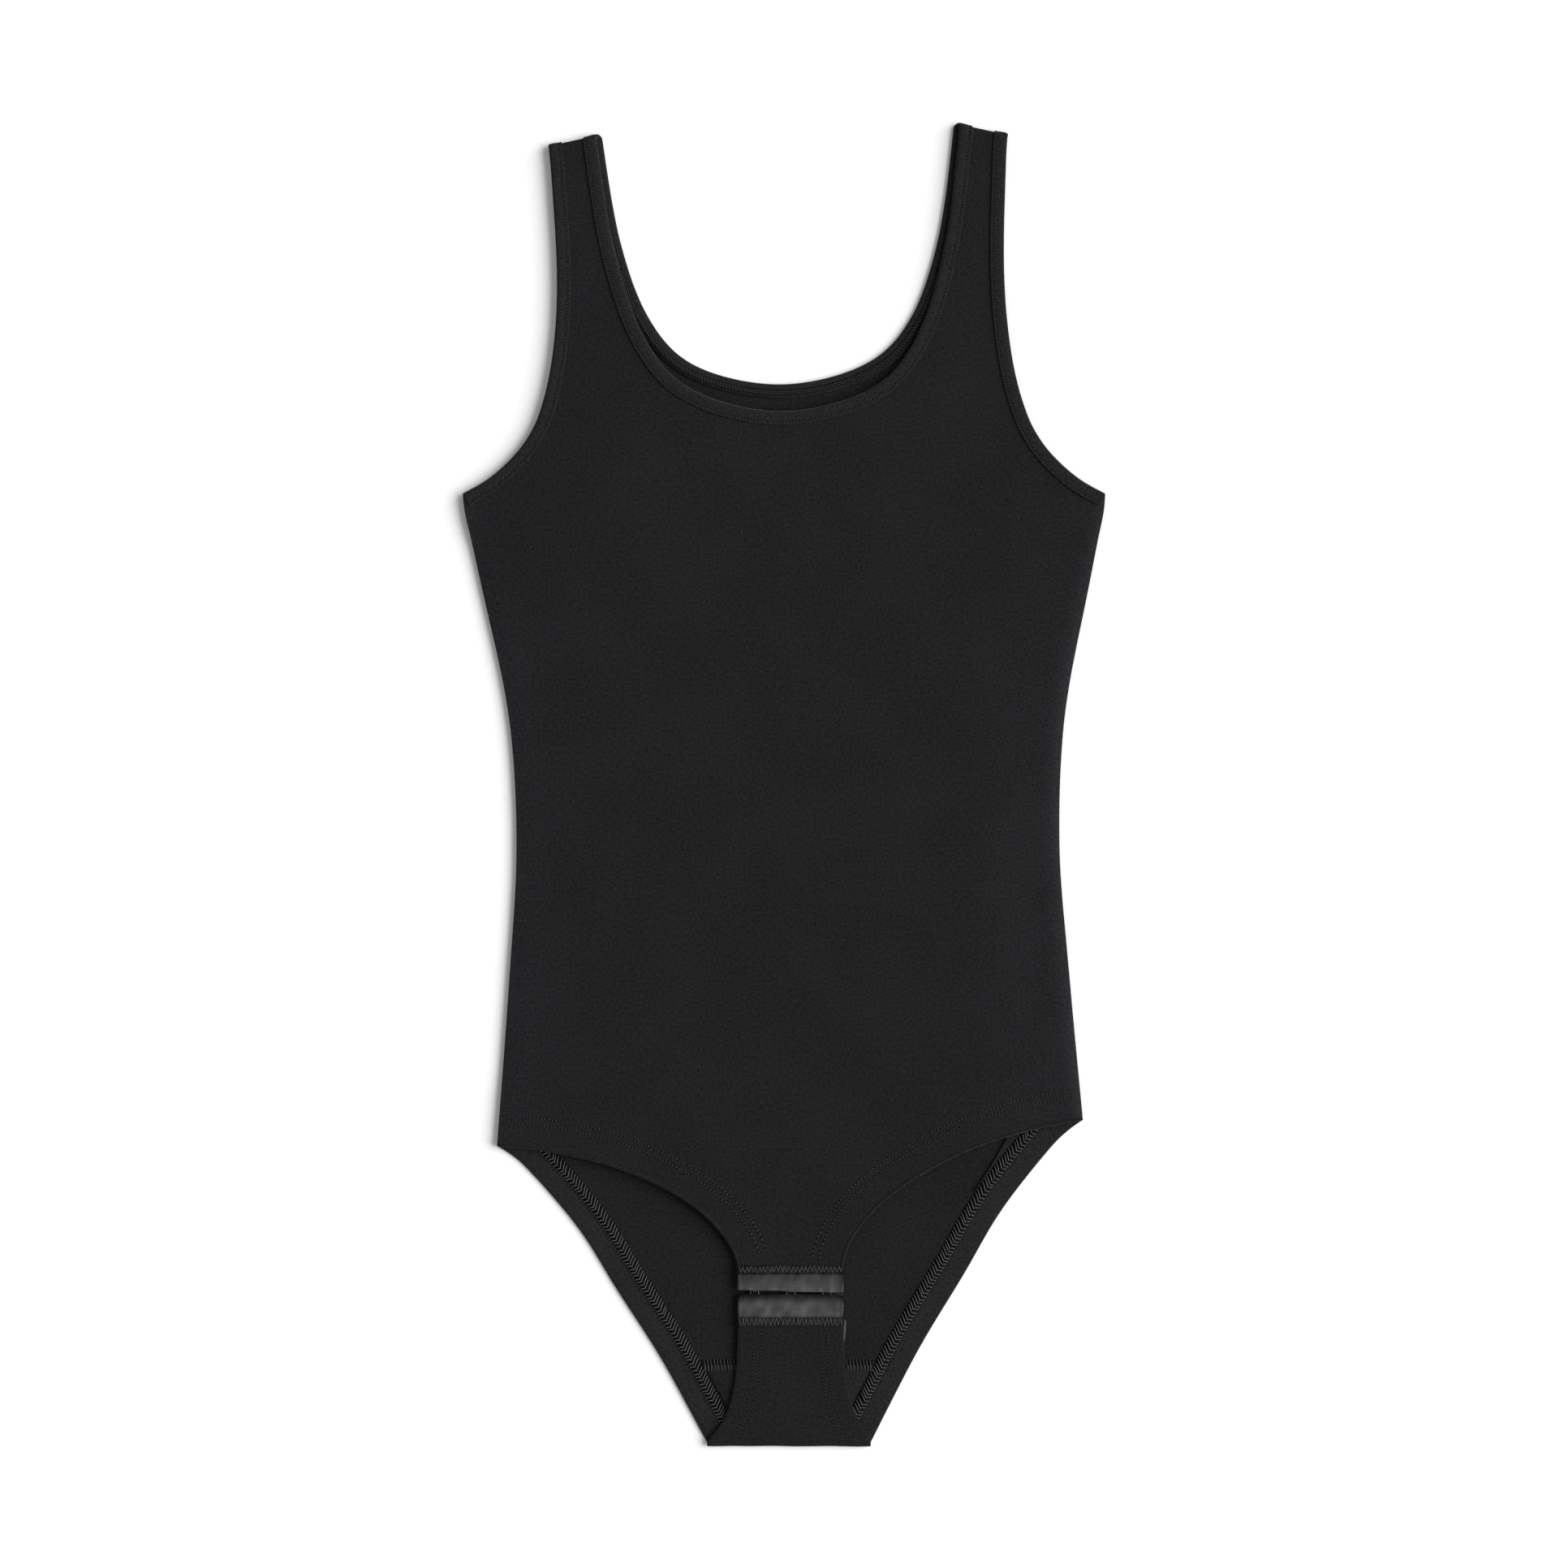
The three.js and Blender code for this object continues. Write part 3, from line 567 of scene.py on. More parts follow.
def threads(name, paths, radius, material, sides=6, holes=()):
    """Round threads along many short paths, in one mesh. holes are short thick paths in painted shade, for the dark of
    a needle hole.
    """
    points, faces, uvs = [], [], []
    ring = np.linspace(0, 2 * math.pi, sides, endpoint=False)
    for order, path in enumerate([*paths, *holes]):
        if order == len(paths):
            first_hole, radius = len(faces), HOLE_RADIUS
        path = np.asarray(path, float)
        along = unit(np.gradient(path, axis=0))
        across = np.cross(along, (0, 0, 1))
        across[np.linalg.norm(across, axis=1) < 1e-6] = (1, 0, 0)
        across = unit(across)
        up = np.cross(across, along)
        start = len(points)
        for p, far, a, b in zip(path, lengths(path), across, up):
            points += [p + radius * (math.cos(t) * a + math.sin(t) * b) for t in ring]
            uvs += [(t * radius, far) for t in ring]
        last = len(points) - sides
        for i in range(start, last, sides):
            faces += [(i + k, i + j, i + sides + j, i + sides + k) for j, k in around(range(sides))]
        faces += [range(start, start + sides), range(last, last + sides)[::-1]]
    piece = make_object(name, points, faces, uvs, material)
    if holes:
        piece.data.materials.append(PAINTED_SHADE)
        for face in piece.data.polygons[first_hole:]:
            face.material_index = 1
    return piece


# --- Materials

class Shading:
    """A material, with short ways to add nodes to it."""

    def __init__(self, name, roughness, sheen=0.0, sheen_roughness=0.5, metallic=0.0, specular=0.5):
        self.material = bpy.data.materials.new(name)
        self.material.use_nodes = True
        self.tree = self.material.node_tree
        self.sockets = self.tree.nodes["Principled BSDF"].inputs
        self.sockets["Roughness"].default_value = roughness
        self.sockets["Metallic"].default_value = metallic
        self.sockets["Specular IOR Level"].default_value = specular
        self.sockets["Sheen Weight"].default_value = sheen
        self.sockets["Sheen Roughness"].default_value = sheen_roughness

    def set(self, socket, value):
        """Sets a socket to a value, or links it where the value is another node's output."""
        if isinstance(value, bpy.types.NodeSocket):
            self.tree.links.new(value, socket)
        else:
            socket.default_value = value

    def node(self, kind, inputs=None, out=0, **settings):
        """An output of a new node."""
        made = self.tree.nodes.new("ShaderNode" + kind)
        for key, value in settings.items():
            setattr(made, key, value)
        for socket, value in (inputs or {}).items():
            self.set(made.inputs[socket], value)
        return made.outputs[out]

    def math(self, operation, a, b=0.0, c=0.0):
        return self.node("Math", {0: a, 1: b, 2: c}, operation=operation)

    def blend(self, a, gain, b):
        """a times gain, plus b."""
        return self.math("MULTIPLY_ADD", a, gain, b)

    def wave(self, value, length):
        return self.math("SINE", self.math("MULTIPLY", value, 2 * math.pi / length))

    def cloth_place(self):
        """u and v of the cloth layer, in metres."""
        self.place = self.node("UVMap", uv_map="cloth")
        parts = self.node("SeparateXYZ", {0: self.place}).node.outputs
        return parts[0], parts[1]

    def noise(self, scale, detail):
        return self.node("TexNoise", {"Vector": self.place, "Scale": scale, "Detail": detail})

    def bump(self, strength, distance, height):
        bump = self.node("Bump", {"Strength": strength, "Distance": distance, "Height": height})
        self.set(self.sockets["Normal"], bump)

    def shade(self, value, colour, dark, light, low=0.0, high=1.0):
        """The colour times dark to light, by a value from low to high."""
        ramp = self.node("ValToRGB", {0: value})
        for element, at, gain in zip(ramp.node.color_ramp.elements, (low, high), (dark, light)):
            element.position = at
            element.color = (*[c * gain for c in colour], 1)
        return ramp

    def painted_light_gain(self):
        """How much light a piece returns where light or shade is painted on it, against its plain material."""
        return self.math("ADD", self.node("Attribute", None, "Fac", attribute_name="worn"), 1.0)

    def base(self, colour, worn=False):
        # The colour is scaled by the painted highlight and painted shade on the piece.
        if worn:
            colour = self.node("VectorMath", {0: colour, "Scale": self.painted_light_gain()}, operation="SCALE")
        self.set(self.sockets["Base Color"], colour)


def knit(name, colour, wale=0.75 * MM, course=0.6 * MM, depth=0.10 * MM, sheen=0.2):
    """Jersey: columns of small V-shaped stitches, with uneven yarn, faint cloudiness and a few pale fibres."""
    look = Shading(name, 0.92, sheen, 0.25, specular=0.1)
    u, v = look.cloth_place()
    wander = look.blend(look.noise(90.0, 2.0), 2.5 * wale, u)
    ridge = look.math("DIVIDE", look.math("PINGPONG", wander, wale / 2), wale / 2)
    stitch = look.wave(look.blend(ridge, 0.8 * course, v), course)
    stitch = look.blend(stitch, 0.35, 0.65)
    loops = look.math("MULTIPLY", stitch, look.wave(ridge, 2.0))
    look.bump(0.8, depth, look.blend(look.noise(2600.0, 3.0), 0.5, loops))
    grain = look.math("MULTIPLY", look.noise(700.0, 2.0), 0.7)
    mixed = look.blend(look.noise(22.0, 4.0), 0.2, grain)
    mixed = look.blend(loops, 0.15, mixed)
    base = look.shade(mixed, colour, 0.5, 1.5, 0.34, 0.64)
    cells = look.node("TexVoronoi", {"Vector": look.place, "Scale": 70.0}, "Distance")
    lint = look.math("LESS_THAN", cells, 0.024)
    paler = (*[c * 4 for c in colour], 1)
    # Scaled by the painted highlight and painted shade on the piece.
    look.base(look.node("Mix", {"Factor": lint, 6: base, 7: paler}, 2, data_type="RGBA"), worn=True)
    return look.material


def satin(name, colour, contrast):
    """Satin tape: fine ribs across it, with long floats that shine."""
    specular = 0.45
    look = Shading(name, 0.42, 0.1, 0.3, specular=specular)
    u, v = look.cloth_place()
    ribs = look.wave(look.blend(look.noise(260.0, 2.0), 0.25 * MM, v), 0.9 * MM)
    weave = look.blend(look.wave(u, 0.36 * MM), 0.35, ribs)
    look.bump(0.55, 0.06 * MM, weave)
    cloud = look.blend(look.noise(120.0, 4.0), 0.6, 0.2)
    shade = look.blend(weave, 0.075, cloud)
    # Colour and shine scaled by the painted highlight and painted shade on the piece.
    look.base(look.shade(shade, colour, 1 - contrast, 1 + contrast, 0.32, 0.68), worn=True)
    look.set(look.sockets["Specular IOR Level"], look.math("MULTIPLY", look.painted_light_gain(), specular))
    return look.material


def sewing_thread(name, colour):
    """Twisted sewing thread."""
    look = Shading(name, 0.6, 0.15, 0.4, specular=0.4)
    u, v = look.cloth_place()
    look.bump(0.5, 0.04 * MM, look.wave(look.blend(u, 1.6, v), 0.45 * MM))
    look.base(look.shade(look.noise(900.0, 2.0), colour, 0.7, 1.3))
    return look.material


def steel(name, colour):
    """Plated steel wire, slightly worn."""
    look = Shading(name, 0.25, metallic=1.0)
    look.place = look.node("TexCoord", None, "Object")
    scratches = look.noise(3000.0, 4.0)
    look.base(look.shade(scratches, colour, 0.75, 1.0))
    rough = look.node("MapRange", {"Value": scratches, "To Min": 0.18, "To Max": 0.4})
    look.set(look.sockets["Roughness"], rough)
    look.bump(0.2, 0.01 * MM, scratches)
    return look.material


BLACK = knit("jersey_black", (0.0078, 0.0078, 0.0087), depth=0.07 * MM)
HEM = knit("jersey_hem", (0.0106, 0.0106, 0.0112), depth=0.07 * MM)
INSIDE = knit("jersey_inside", (0.0078, 0.0078, 0.0084), depth=0.07 * MM, sheen=0.1)
BINDING = knit("binding_black", (0.0108, 0.0108, 0.0116), wale=0.6 * MM, course=0.7 * MM, sheen=0.16)
LINING = knit("lining_black", (0.009, 0.009, 0.0096), wale=0.5 * MM, course=0.5 * MM, depth=0.05 * MM)
SATIN = satin("satin_tape", (0.0105, 0.0105, 0.0117), 0.6)
STITCHED = knit("satin_stitched", (0.015, 0.015, 0.0162), sheen=0.1)
# A paler copy of the satin for the eye tape's face: a painted highlight where that tape's bow catches more light.
SATIN_LIT = satin("satin_tape_worn", (0.020, 0.020, 0.022), 0.65)
THREAD = sewing_thread("thread_black", (0.010, 0.010, 0.0105))
# Brighter copies of the black thread: the shine of the thread painted into its colour as a painted highlight.
GLINT_THREAD = sewing_thread("thread_polished_black", (0.055, 0.055, 0.057))
SHEEN_THREAD = sewing_thread("thread_worn_black", (0.036, 0.036, 0.037))
# Near-black painted shade: the dark of needle holes, and the shade between stitch loops and under cover stitches.
PAINTED_SHADE = knit("stitched_gap_black", (0.0012, 0.0012, 0.0013), sheen=0.0)
HOLE_RADIUS = 0.36 * MM
WIRE = steel("wire_steel", (0.05, 0.05, 0.052))

# --- Panels


def bridge(a, b, step=4 * MM):
    return spaced(np.array([a, b]), step)


def follow(piece, body, joint=None):
    """The piece rides on a body; where a joint is given, its transform is only baked into its points instead."""
    if joint:
        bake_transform(piece)
    else:
        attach(piece, body)
    return piece


# The legs' cloth is turned under by a fold of this radius, and the panels stop where the fold begins.
HEM_GAP = 0.15 * MM
HEM_RADIUS = JERSEY + HEM_GAP / 2
HEM_LIP = HEM_RADIUS + 0.9 * MM
# The front and back of a strap are joined over the top by half a turn about a line at this height.
STRAP_CENTRE = (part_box("front_strap_left")[1].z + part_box("back_strap_left")[0].z) / 2
STRAP_RADIUS = FRONT_EDGE_Z - STRAP_CENTRE
BINDING_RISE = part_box("front_armhole_binding_left")[1].z - FRONT_EDGE_Z
TOP_DROP = STRAP_RADIUS + BINDING_RISE


def strap_top(label):
    """The line in plan that the front and back of a strap stop at: a point on it, and the way up."""
    inner, outer = SHOULDERS[label]
    way = (outer - inner) * SIDES[label]
    normal = np.array([-way[1], way[0]]) / np.linalg.norm(way)
    return inner - normal * TOP_DROP, normal


TOPS = {label: strap_top(label) for label in SIDES}


def below_top(line, label):
    point, normal = TOPS[label]
    return split(line, 0, normal, point)[1]


def halves(neck):
    """The left and right halves of a neck line, each from the middle up, above and below the strap fold."""
    middle = len(neck) // 2
    left = below_top(neck[: middle + 1], "left")
    right = below_top(neck[middle:], "right")
    return {"left": split(left, STRAP_FOLD_Y), "right": split(right, STRAP_FOLD_Y)}


def body_outline(neck, legs, bottom_y):
    """The torso part of a panel: below the strap folds and above a level near the crotch."""
    parts = {}
    for label, side in SIDES.items():
        arm = split(inset(ARMHOLES[label], BINDING_HOLD, side), STRAP_FOLD_Y)[1]
        leg = split(inset(legs[label], HEM_LIP, side), bottom_y)[0]
        parts[label] = (arm, SIDE_EDGES[label][:-1], leg)
    bound = halves(inset(neck, BINDING_HOLD, 1))
    left_neck, right_neck = bound["left"][1], bound["right"][1]
    (arm_l, side_l, leg_l), (arm_r, side_r, leg_r) = parts["left"], parts["right"]
    return joined(
        (left_neck, 1), (right_neck, 1),
        (bridge(right_neck[-1], arm_r[0]), 0), (arm_r, 1), (side_r, 1), (leg_r, 0),
        (bridge(leg_r[-1], leg_l[-1]), 0), (leg_l[::-1], 0), (side_l[::-1], 1), (arm_l[::-1], 1),
        (bridge(arm_l[0], left_neck[0]), 0),
    )


def strap_outline(neck, label):
    """A strap between its fold line and its top."""
    side = SIDES[label]
    arm = split(below_top(inset(ARMHOLES[label], BINDING_HOLD, side), label), STRAP_FOLD_Y)[0]
    part = halves(inset(neck, BINDING_HOLD, 1))[label][0]
    part = part if side < 0 else part[::-1]
    return joined((part, 1), (bridge(part[-1], arm[-1]), 0), (arm[::-1], 1), (bridge(arm[0], part[0]), 0))


FACES = {
    "front": (FRONT_NECK, FRONT_LEGS, TAB_FOLD_Y, front_height, BLACK),
    "back": (BACK_NECK, BACK_LEGS, GUSSET_SEAM_Y, back_height, INSIDE),
}
for face, (neck, legs, bottom_y, height, material) in FACES.items():
    outline = body_outline(neck, legs, bottom_y)
    panel = follow(cloth(f"{face}_panel_cloth", outline, height, material), "torso")
    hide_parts(f"{face}_panel")
    for label in SIDES:
        outline = strap_outline(neck, label)
        strap = cloth(f"{face}_strap_cloth_{label}", outline, height, material)
        follow(strap, f"strap_{label}", f"strap_{label}_fold")
        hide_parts(f"{face}_strap_{label}")

tab_hems = {label: inset(FRONT_LEGS[label], HEM_LIP, side) for label, side in SIDES.items()}
tab_sides = {label: split(line, TAB_FOLD_Y)[1] for label, line in tab_hems.items()}
tab_end = HOOK_TAPE[1].y - 8 * MM
tab_corners = {label: np.array([TAPE_X + side * (HALF_TAPE - HEM_LIP), tab_end]) for label, side in SIDES.items()}
tab_outline = joined(
    (tab_sides["right"], 0), (bridge(tab_sides["right"][-1], tab_corners["right"]), 0),
    (bridge(tab_corners["right"], tab_corners["left"]), 1),
    (bridge(tab_corners["left"], tab_sides["left"][-1]), 0),
    (tab_sides["left"][::-1], 0), (bridge(tab_sides["left"][0], tab_sides["right"][0]), 0),
)
tab = cloth("front_tab_cloth", tab_outline, front_height, BLACK, spacing=4 * MM)
follow(tab, "front_tab", "front_tab_lift")
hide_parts("front_tab")
# --- Turned hems


def hem_section(width, turned_up=False):
    """The fold at a leg edge and the cloth turned to the inside, as (across, up) points."""
    gap, fold = HEM_GAP, HEM_RADIUS
    outer = [(fold - fold * math.sin(a), JERSEY - fold + fold * math.cos(a)) for a in np.linspace(0, math.pi, 9)]
    inner = [(fold - gap / 2 * math.sin(a), -gap / 2 - gap / 2 * math.cos(a)) for a in np.linspace(0, math.pi, 4)]
    low, high = -gap - JERSEY, -gap
    steps = np.linspace(fold, width, 6)[1:-1]
    end = [(width - 0.2 * MM, low), (width, low + 0.3 * MM), (width, high - 0.3 * MM), (width - 0.2 * MM, high)]
    section = [(HEM_LIP, JERSEY), *outer, *[(a, low) for a in steps], *end]
    section += [*[(a, high) for a in steps[::-1]], *inner, (HEM_LIP, 0)]
    if turned_up:
        section = [(a, JERSEY - up) for a, up in section]
    return section


FRONT_HEM = 15 * MM
BACK_HEM = 14.8 * MM
# The chain sewn on a back leg hem reaches this far in.
CHAIN_OUTER = 17.2 * MM
for label, side in SIDES.items():
    leg = spaced(np.concatenate([FRONT_LEGS[label], [[TAPE_X + side * HALF_TAPE, tab_end]]]), 2 * MM)
    upper, lower = split(leg, TAB_FOLD_Y)
    back = BACK_LEGS[label]
    for place, line, height, width, material, body, joint in (
        ("front_leg", upper, front_height, FRONT_HEM, BLACK, "torso", None),
        ("tab", lower, front_height, FRONT_HEM, BLACK, "front_tab", "front_tab_lift"),
        ("back_leg", back, back_height, BACK_HEM, HEM, "torso", None),
    ):
        section = hem_section(width, turned_up=place == "back_leg")
        hem = sweep(f"{place}_hem_{label}_cloth", line, height, section, side, material)
        follow(hem, body, joint)
        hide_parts(f"{place}_hem_{label}")

# Beside the right leg's chain, near the hip, the allowance of the hem shows as a strip that narrows downwards.
leg = BACK_LEGS["right"]
fall = (HIPS["right"][1] - leg[:, 1] - 7 * MM) / (44 * MM)
shown = (fall > -0.15) & (fall < 0.95)
leg, fall = leg[shown], fall[shown][:, None]
share = np.linspace(0, 1, 5)
reach = CHAIN_OUTER + share * (0.2 * MM + 9 * MM * (1 - fall) ** 2)
plan = leg[:, None] + rightward(leg)[:, None] * reach[..., None]
level = 1.2 * MM + 0.7 * MM * smooth(fall / 0.3) * share
rows = np.concatenate([plan, level[..., None]], axis=2)
flap = follow(ribbon("back_leg_hem_right_allowance_cloth", rows, 0.55 * MM, INSIDE), "torso")

# --- Side seams

for label, side in SIDES.items():
    low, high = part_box(f"side_seam_{label}")
    levels = np.linspace(high.y - 1 * MM, low.y + 1 * MM, 60)
    reach = np.linspace(2.2, 7.4, 5) * MM
    rows = []
    for i, (x, y) in enumerate(zip(x_at(SIDE_EDGES[label], levels), levels)):
        ripple = 0.12 * MM * math.sin(i * 1.7)
        rows.append([(x - side * a, y, 2.2 * MM + ripple * a / (7 * MM)) for a in reach])
    seam = follow(ribbon(f"side_seam_{label}_cloth", rows, 1.2 * MM, INSIDE), "torso")
    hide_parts(f"side_seam_{label}")

# --- Gusset strip and its linings

STRIP_MIDDLE = JERSEY / 2
gusset_low, gusset_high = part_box("gusset_front")
fold_x = [BACK_LEGS[label][-1][0] for label in SIDES]
back_levels = np.linspace(GUSSET_SEAM_Y, FOLD_AXIS_Y, 15)
back_x = [x_at(inset(BACK_LEGS[label], HEM_LIP, side), back_levels) for label, side in SIDES.items()]
front_levels = np.linspace(FOLD_AXIS_Y, gusset_high.y, 28)
front_x = spans("gusset_front", np.clip(front_levels, gusset_low.y + 0.2 * MM, gusset_high.y - 0.2 * MM))
near_fold = np.maximum(0.0, 1 - (front_levels - FOLD_AXIS_Y) / (14 * MM)) ** 1.5
front_x = front_x + (np.array(fold_x) - front_x[0]) * near_fold[:, None]
fold_reach = FOLD_AXIS_Z - STRIP_MIDDLE
levels = [(y, STRIP_MIDDLE, *x) for y, *x in list(zip(back_levels, *back_x))[:-1]]
for angle in np.radians(np.linspace(-90, 90, 15)):
    levels.append((FOLD_AXIS_Y - fold_reach * math.cos(angle), FOLD_AXIS_Z + fold_reach * math.sin(angle), *fold_x))
levels += [(y, FOLD_AXIS_Z + fold_reach, *x) for y, x in list(zip(front_levels, front_x))[1:]]
strip_rows, strip_uvs, far = [], [], 0.0
for y, z, low_x, high_x in levels:
    x = np.linspace(low_x, high_x, 27)
    bend = max(0.0, (FOLD_AXIS_Y - y) / FOLD_AXIS_Z)
    uneven = 0.35 * MM * bend * ruffle_along(x, 14 * MM, 9.4)
    if strip_rows:
        far += math.hypot(y - strip_rows[-1][0][1], z - strip_rows[-1][0][2])
    strip_rows.append(np.column_stack([x, y + uneven, np.full(len(x), z)]))
    strip_uvs.append([(a, far) for a in x])
strip = ribbon("gusset_cloth", strip_rows, JERSEY, BLACK, uvs=strip_uvs, cut_start=True)
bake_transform(strip)
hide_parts("gusset_back", "gusset_front")


def flat_piece(node_name, body, material, columns=9):
    """A sheet in the place of a flat CAD node."""
    low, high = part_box(node_name)
    count = max(4, round((high.y - low.y) / (2 * MM)))
    levels = np.linspace(high.y - 0.05 * MM, low.y + 0.05 * MM, count)
    middle = (low.z + high.z) / 2
    ends = zip(levels, spans(node_name, levels))
    grid = np.array([[(x, y, middle) for x in np.linspace(*x_range, columns)] for y, x_range in ends])
    piece = follow(ribbon(f"{node_name}_cloth", grid, high.z - low.z, material), body)
    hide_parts(node_name)


flat_piece("gusset_lining_back", "torso", LINING)
flat_piece("gusset_lining_front", "gusset", LINING)
# The gusset seam's sheet is drawn in painted shade, the shade under its cover stitches.
flat_piece("gusset_seam", "torso", PAINTED_SHADE, columns=30)
for label in SIDES:
    flat_piece(f"gusset_hem_{label}", "gusset", BLACK)

# --- Bindings

FOLD_PROFILE = [
    (7.3, 1.40), (7.05, 1.54), (6.6, 1.56), (6.0, 1.42), (5.4, 1.46), (4.6, 1.6), (3.4, 1.7), (2.2, 1.7), (1.3, 1.66),
    (0.55, 1.5), (0.15, 1.1), (0.0, 0.4), (0.15, -0.3), (0.55, -0.7), (1.3, -0.86), (4.0, -0.9), (7.3, -0.9),
    (7.3, -0.32), (1.6, -0.3), (0.85, 0.0), (0.7, 0.4), (0.85, 0.85), (1.6, 1.1), (7.3, 1.1),
]
FRONT_SECTION = np.array(FOLD_PROFILE[::-1]) * MM
BACK_SECTION = FRONT_SECTION * (1, -1) + (0, JERSEY)


def bound_lines(face):
    """The edges that a binding covers on a face: the place, line, hand, body and joint of each length of it."""
    parts = halves(FACES[face][0])
    bowl = np.concatenate([parts["left"][1], parts["right"][1][1:]])
    found = [("neck", bowl, 1, "torso", None)]
    for label, side in SIDES.items():
        joint, strap = f"strap_{label}_fold", f"strap_{label}"
        upper, lower = split(below_top(ARMHOLES[label], label), STRAP_FOLD_Y)
        found.append((f"neck_strap_{label}", parts[label][0], 1, strap, joint))
        found.append((f"armhole_{label}", lower, side, "torso", None))
        found.append((f"armhole_strap_{label}", upper, side, strap, joint))
    return found


for face, (_, _, _, height, _) in FACES.items():
    section = FRONT_SECTION if face == "front" else BACK_SECTION
    for place, line, hand, body, joint in bound_lines(face):
        edge, rest = re.match("(neck|armhole)(.*)", place).groups()
        cut = TOPS[place.split("_")[-1]] if joint else None
        piece = sweep(f"{face}_{edge}_band{rest}", line, height, section, hand, BINDING, cut)
        follow(piece, body, joint)
        start = "strap_" if joint else ""
        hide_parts(f"{start}{face}_{edge}_binding{rest.replace('_strap', '')}")

# --- Tops of the straps

for label, side in SIDES.items():
    point, normal = TOPS[label]
    way = np.array([normal[1], -normal[0]]) * side
    first = 0 if side < 0 else -1
    arm_foot = below_top(ARMHOLES[label], label)[0]
    neck_foot = halves(FRONT_NECK)[label][0][first]
    slide = (halves(BACK_NECK)[label][0][first] - neck_foot) @ way * way
    width = abs((arm_foot - neck_foot) @ way)
    for edge, foot, direction, move in (("neck", neck_foot, way, slide), ("armhole", arm_foot, -way, 0 * slide)):
        feet = [foot + direction * a for a, _ in FRONT_SECTION]
        name = f"strap_top_{edge}_band_{label}"
        piece = cap(name, feet, [move] * len(feet), FRONT_SECTION[:, 1], normal, BINDING)
        follow(piece, f"strap_{label}")
    steps = np.linspace(BINDING_HOLD, width - BINDING_HOLD, 12)
    steps = [*steps, *steps[::-1]]
    feet = [neck_foot + way * a for a in steps]
    move = [slide * (1 - a / width) for a in steps]
    piece = cap(f"shoulder_seam_{label}_cloth", feet, move, [0] * 12 + [JERSEY] * 12, normal, BLACK)
    follow(piece, f"strap_{label}")
    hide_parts(f"shoulder_seam_{label}")

# --- Satin tapes

STITCHED_WIDTH = 4.4 * MM


def slanted_ruffle(plan, seed):
    """The relief of puckers that run aslant across a tape."""
    return ruffle(plan @ np.array([[1, 0.5], [-0.35, 1]]) * (1, 0.35), 3.2 * MM, seed)


def tape_piece(name, body, y_fold, seed, slant=0.0, material=SATIN, tones=(0, 0, 1)):
    """A satin tape in the place of a flat CAD node, puckered by its stitches, with a folded rim at y_fold that rises
    by slant towards the left. tones are how much paler (painted highlight) or darker (painted shade) it is painted at
    the fold and further in, and how far that is."""
    low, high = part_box(name)
    x = np.linspace(low.x, high.x, 61)
    from_end = HALF_TAPE - np.abs(x - TAPE_X)
    rim = 0.12 * MM * (hump(from_end, 0.9 * MM, 0.55 * MM) - hump(from_end, 2.1 * MM, 0.5 * MM))
    wander = 0.35 * MM * ruffle_along(x, 9 * MM, seed + 7) - slant * (x - TAPE_X) / HALF_TAPE
    rows = []
    for y in np.linspace(high.y, low.y, max(8, round((high.y - low.y) / (0.7 * MM)))):
        near_edge = 1 - smooth(min(y - low.y, high.y - y) / (3.5 * MM))
        plan = np.column_stack([x, np.full(len(x), y)])
        puckers = 0.3 * MM * (0.35 + near_edge) * slanted_ruffle(plan, seed)
        bow = 0.3 * MM * ruffle(plan * (0.7, 1), 6 * MM, seed + 3) - 0.05 * MM
        ends = 0.25 * MM * ruffle_along(plan[:, 1], 5 * MM, seed + 1) * np.sign(x - TAPE_X)
        level = (low.z + high.z) / 2 + puckers + bow + rim
        rows.append(np.column_stack([x + ends, y + math.exp(-abs(y - y_fold) / (2.0 * MM)) * wander, level]))
    piece = ribbon(f"{name}_satin", rows, high.z - low.z, material)
    piece.data.materials.append(STITCHED)
    at = np.array([v.co[:2] for v in piece.data.vertices])
    from_fold = np.abs(at[:, 1] - y_fold)
    stitched_from = low.y if y_fold > low.y else high.y
    from_stitched = np.abs(at[:, 1] - stitched_from)
    near, inner, reach = tones
    # Painted highlight or painted shade along the fold, fading further in.
    tone = near + (inner - near) * smooth(from_fold / reach)
    # Painted light and shade along the slanting puckers, away from the fold.
    tone += 0.5 * smooth(from_fold / (8 * MM)) * slanted_ruffle(at, seed + 0.4)
    # Painted shade at both ends of the tape.
    tone -= 0.8 * hump(np.abs(at[:, 0] - TAPE_X), HALF_TAPE, 0.8 * MM)
    # A painted highlight across the middle of the tape, slightly darker elsewhere.
    tone += 0.12 * hump(at[:, 0], TAPE_X, 14 * MM) - 0.06
    # Painted shade lines along both edges of the stitched zone.
    tone -= 0.45 * hump(from_stitched, 4.3 * MM, 0.6 * MM) + 0.4 * hump(from_stitched, 0.3 * MM, 0.6 * MM)
    # The stitched zone is darker: partly its own dense stitched cloth, partly painted shade.
    tone -= 0.3 * (from_stitched < STITCHED_WIDTH)
    set_painted_light(piece, np.maximum(tone, -0.9))
    for face in piece.data.polygons:
        if abs(face.center.y - stitched_from) < STITCHED_WIDTH:
            face.material_index = 1
    follow(piece, body)
    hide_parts(name)


hook_fold, eye_fold = HOOK_TAPE[0].y, EYE_TAPE[1].y
# Tones at the folds: painted highlight on the hook tape, painted shade on the eye tape.
tape_piece("hook_tape_face", "front_tab", hook_fold, 1.3, 0.8 * MM, tones=(0.6, -0.05, 9 * MM))
tape_piece("hook_tape_backing", "front_tab", hook_fold, 2.9)
tape_piece("eye_tape_face", "gusset", eye_fold, 4.6, 0.35 * MM, SATIN_LIT, (-0.8, 0.2, 6 * MM))
tape_piece("eye_tape_backing", "gusset", eye_fold, 6.1)

